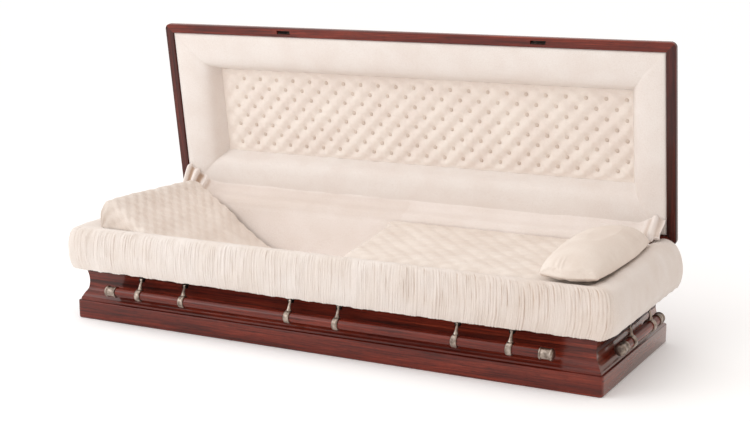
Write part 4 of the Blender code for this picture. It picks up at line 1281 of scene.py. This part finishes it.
class CASKET_OT_handles(bpy.types.Operator):
    """Four swing bars with their tips and arms"""

    bl_idname = "casket.handles"
    bl_label = "Handles"

    def execute(self, context):
        for side, values in HANDLE_SIDES.items():
            self.make_side(side, *values)
        return {"FINISHED"}

    def make_side(self, side, turn_deg, half_out, half, arms, rest_deg):
        """The parts of one handle, drawn along X about the pivot and turned to their side."""
        turn, lean = math.radians(turn_deg), math.radians(rest_deg)
        cos, sin = math.cos(turn), math.sin(turn)
        spin = np.array([(cos, -sin, 0), (sin, cos, 0), (0, 0, 1)])
        pivot = spin @ np.array((0, -(half_out + PIVOT_OUT), PIVOT_Z))
        hang = np.array((0.0, -ARM_REACH * math.sin(lean), -ARM_REACH * math.cos(lean)))
        body, mouth = side + "_handle", half - TIP_LENGTH

        def placed(grid):
            return grid @ spin.T + pivot

        self.make_bar(side, mouth - TOUCH, hang, placed, body)
        for sign, label in ((-1, "a"), (1, "b")):
            cap = placed(lathe(tip_profile(sign, mouth), 32, hang))
            made = closed_tube(f"{side}_cap_{label}", cap, "antique_nickel_plate", 40)
            mounted(made, body, [f"{side}_tip_{label}"])
        for n, x in enumerate(arms):
            self.make_arm(f"{side}_hanger_{n + 1}", x, hang, placed, body, f"{side}_arm_{n + 1}")
        for n in range(len(arms) // 2):
            refinished(f"{side}_lug_{n + 1}", "dark_nickel_plate")

    def make_bar(self, side, end, hang, placed, body):
        """A round wooden bar with eased ends, its grain along it."""
        sides, ease = 36, 0.001
        profile = [(-end, BAR_RADIUS - ease), (ease - end, BAR_RADIUS), (end - ease, BAR_RADIUS),
                   (end, BAR_RADIUS - ease)]
        around = np.linspace(0, 2 * math.pi * BAR_RADIUS, sides + 1)
        v, u = np.meshgrid(around, [along for along, _ in profile])
        grain = cells(np.stack([u, v], -1)).reshape(-1, 4, 2)
        bar = placed(lathe(profile, sides, hang))
        made = closed_tube(side + "_bar_turned", bar, "lacquered_mahogany", 40, grain)
        mounted(made, body, [side + "_bar"])

    def make_arm(self, name, x, hang, placed, body, node):
        """An eye on the pin, a shank that flares like a bell, and a beaded collar round the bar."""
        way = hang / np.linalg.norm(hang)
        across = np.array((0.0, -way[2], way[1]))
        sides, round_sides = 24, 32
        angle = np.linspace(0, 2 * math.pi, sides, endpoint=False)
        # How far down the arm, and the shank's half width and half depth there. It bows out a little
        bell = smooth_curve([(0.0030, 0.0044, 0.0040), (0.0110, 0.0050, 0.0044), (0.0200, 0.0056, 0.0050),
                             (0.0280, 0.0074, 0.0066), (0.0340, 0.0100, 0.0092), (0.0375, 0.0112, 0.0104),
                             (0.0410, 0.0108, 0.0104)], 4)
        shank = np.stack([np.array((x, -0.0050 * math.sin(math.pi * down / 0.041), 0)) + way * down
                          + np.outer(np.cos(angle) * wide, (1, 0, 0)) + np.outer(np.sin(angle) * deep, across)
                          for down, wide, deep in bell])
        collar = filleted([(-0.0115, 0.0178), (-0.0115, 0.0212), (-0.0080, 0.0238), (0.0080, 0.0238),
                           (0.0115, 0.0212), (0.0115, 0.0178)],
                          [0.0004, 0.0022, 0.0040, 0.0040, 0.0022, 0.0004])
        eye = filleted([(-0.0045, 0.0036), (-0.0045, 0.0078), (0.0045, 0.0078), (0.0045, 0.0036)],
                       [0.0003, 0.0016, 0.0016, 0.0003], 3)
        parts = [(lathe(profile, round_sides, centre), grid_quads(len(profile), round_sides, True, True), [])
                 for profile, centre in ((collar, hang + (x, 0, 0)), (eye, (x, 0.0, 0.0)))]
        parts.append((shank, grid_quads(len(shank), sides, False, True), end_caps(len(shank), sides)))
        points, quads, caps = joined(parts)
        made = build_mesh(name, placed(points), quads, "antique_nickel_plate", 40, caps)
        mounted(made, body, [node])


# Stage


class CASKET_OT_stage(bpy.types.Operator):
    """Pale floor, soft studio light and the camera"""

    bl_idname = "casket.stage"
    bl_label = "Stage"

    def execute(self, context):
        scene, stage = context.scene, context.scene.casket_stage
        self.make_camera(scene)
        self.make_floor(stage)
        self.make_lights(scene, stage)
        scene.view_settings.view_transform = "Standard"
        scene.view_settings.look = "None"
        return {"FINISHED"}

    def make_camera(self, scene):
        """Where the photograph was taken from, fitted to the object's own edges."""
        yaw, pitch, roll = (math.radians(v) for v in (27.62, 11.31, -0.07))
        away = Vector((-math.sin(yaw) * math.cos(pitch), math.cos(yaw) * math.cos(pitch), -math.sin(pitch)))
        data = bpy.data.cameras.new("casket_camera")
        data.lens, data.sensor_width = 68.637, 36.0
        data.clip_start, data.clip_end = 0.1, 100.0
        camera = bpy.data.objects.new("casket_camera", data)
        camera.location = (2.45455, -4.59480, 1.49593)
        camera.rotation_mode = "QUATERNION"
        camera.rotation_quaternion = away.to_track_quat("-Z", "Y") @ Quaternion((0, 0, 1), roll)
        scene.collection.objects.link(camera)
        scene.camera = camera

    def make_floor(self, stage):
        """A wide matt sheet, a hair below the underside."""
        mesh = bpy.data.meshes.new("studio_floor")
        reach, below = 30.0, -0.0006
        mesh.from_pydata([(-reach, -reach, below), (reach, -reach, below), (reach, reach, below),
                          (-reach, reach, below)], [], [(0, 1, 2, 3)])
        made, tree = new_material("pale_studio_floor")
        # A little light of its own, as a sheet lit from below has, so that it stays white far back
        shader = add_node(tree, "BsdfPrincipled", {
            "Base Color": (*stage.floor_colour, 1.0),
            "Roughness": 0.9,
            "Specular IOR Level": 0.2,
            "Emission Color": colour("#FFFFFF"),
            "Emission Strength": 0.12,
        })
        add_node(tree, "OutputMaterial", {"Surface": shader})
        mesh.materials.append(made)
        floor = bpy.data.objects.new("studio_floor", mesh)
        bpy.context.scene.collection.objects.link(floor)

    def make_lights(self, scene, stage):
        """A white surround and two square softboxes, one above and one to the front left."""
        world = bpy.data.worlds.new("studio_surround")
        world.use_nodes = True
        tree = world.node_tree
        tree.nodes.clear()
        # Brighter and cooler to the left of the camera than to its right, as by a window
        across = add_node(tree, "SeparateXYZ", {0: add_node(tree, "TexCoord").outputs["Generated"]})
        side = add_node(tree, "MapRange", {0: across, 1: -1.0, 2: 1.0, 3: 0.0, 4: 1.0})
        tint = add_node(tree, "ValToRGB", {"Fac": side},
                        ((0.0, "#FFFFFF"), (0.5, "#FFFEFD"), (1.0, "#FFEEE2")))
        strength = add_node(tree, "MapRange", {0: across, 1: -1.0, 2: 1.0, 3: stage.surround * 1.26,
                                               4: stage.surround * 0.66})
        background = add_node(tree, "Background", {"Color": tint, "Strength": strength})
        add_node(tree, "OutputWorld", {"Surface": background})
        scene.world = world
        for name, place, aim, size, power in (
            ("overhead_softbox", (-0.4, -0.8, 3.0), (0.0, 0.0, 0.4), 3.0, stage.overhead),
            ("front_left_softbox", (-2.9, -3.2, 2.2), (-0.4, 0.0, 0.4), 2.2, stage.front),
        ):
            data = bpy.data.lights.new(name, "AREA")
            data.shape, data.size, data.energy = "SQUARE", size, power
            lamp = bpy.data.objects.new(name, data)
            lamp.location = place
            lamp.rotation_mode = "QUATERNION"
            lamp.rotation_quaternion = (Vector(aim) - Vector(place)).to_track_quat("-Z", "Y")
            scene.collection.objects.link(lamp)


# Settings a user would change


class CasketWood(bpy.types.PropertyGroup):
    gloss: bpy.props.FloatProperty(name="Gloss", description="How much clear lacquer lies over the wood",
                                   default=0.45, min=0.0, max=1.0, subtype="FACTOR")


class CasketCloth(bpy.types.PropertyGroup):
    gather_pitch: bpy.props.FloatProperty(name="Gather spacing", description="Distance between two folds",
                                          default=0.0125, min=0.004, max=0.05, unit="LENGTH")
    gather_depth: bpy.props.FloatProperty(name="Gather depth", description="Depth of the skirt's folds",
                                          default=0.0080, min=0.0, max=0.02, unit="LENGTH")
    tuft_depth: bpy.props.FloatProperty(name="Button depth", description="How deep the lid's buttons pull",
                                        default=0.0092, min=0.0, max=0.02, unit="LENGTH")
    tuft_crown: bpy.props.FloatProperty(name="Diamond height", description="How far the lid's diamonds swell",
                                        default=0.0048, min=0.0, max=0.03, unit="LENGTH")
    button_radius: bpy.props.FloatProperty(name="Button radius", description="Radius of the covered buttons",
                                           default=0.0085, min=0.002, max=0.02, unit="LENGTH")


class CasketMetal(bpy.types.PropertyGroup):
    roughness: bpy.props.FloatProperty(name="Roughness", description="How dull the plated metal is",
                                   default=0.32, min=0.0, max=1.0, subtype="FACTOR")


class CasketStage(bpy.types.PropertyGroup):
    floor_colour: bpy.props.FloatVectorProperty(name="Floor", description="Colour of the studio floor",
                                                default=(0.96, 0.96, 0.96), min=0.0, max=1.0, subtype="COLOR")
    surround: bpy.props.FloatProperty(name="Surround", description="Strength of the light from all round",
                                      default=1.0, min=0.0, max=5.0)
    overhead: bpy.props.FloatProperty(name="Overhead light", description="Power of the light above",
                                      default=18.0, min=0.0, max=2000.0, unit="POWER")
    front: bpy.props.FloatProperty(name="Front light", description="Power of the light in front",
                                   default=34.0, min=0.0, max=2000.0, unit="POWER")


class CASKET_PT_panel(bpy.types.Panel):
    """Lists the pieces and their settings"""

    bl_idname = "CASKET_PT_panel"
    bl_label = "Open casket"
    bl_space_type = "VIEW_3D"
    bl_region_type = "UI"
    bl_category = "Casket"

    def draw(self, context):
        for operator in OPERATORS:
            self.layout.operator(operator.bl_idname)
        for group in GROUPS:
            box = self.layout.box()
            for key in GROUPS[group].__annotations__:
                box.prop(getattr(context.scene, group), key)


OPERATORS = (CASKET_OT_stage, CASKET_OT_case_woodwork, CASKET_OT_lid_woodwork, CASKET_OT_lid_lining,
             CASKET_OT_overlay, CASKET_OT_bedding, CASKET_OT_pillow, CASKET_OT_apron, CASKET_OT_handles)
GROUPS = {"casket_wood": CasketWood, "casket_cloth": CasketCloth, "casket_metal": CasketMetal,
          "casket_stage": CasketStage}


def register():
    for name, group in GROUPS.items():
        bpy.utils.register_class(group)
        setattr(bpy.types.Scene, name, bpy.props.PointerProperty(type=group))
    for operator in OPERATORS:
        bpy.utils.register_class(operator)
    bpy.utils.register_class(CASKET_PT_panel)


def unregister():
    bpy.utils.unregister_class(CASKET_PT_panel)
    for operator in reversed(OPERATORS):
        bpy.utils.unregister_class(operator)
    for name, group in GROUPS.items():
        delattr(bpy.types.Scene, name)
        bpy.utils.unregister_class(group)


def main():
    register()
    casket = bpy.ops.casket
    for build in (casket.stage, casket.case_woodwork, casket.lid_woodwork, casket.lid_lining, casket.overlay,
                  casket.bedding, casket.pillow, casket.apron, casket.handles):
        build()


if __name__ == "__main__":
    main()
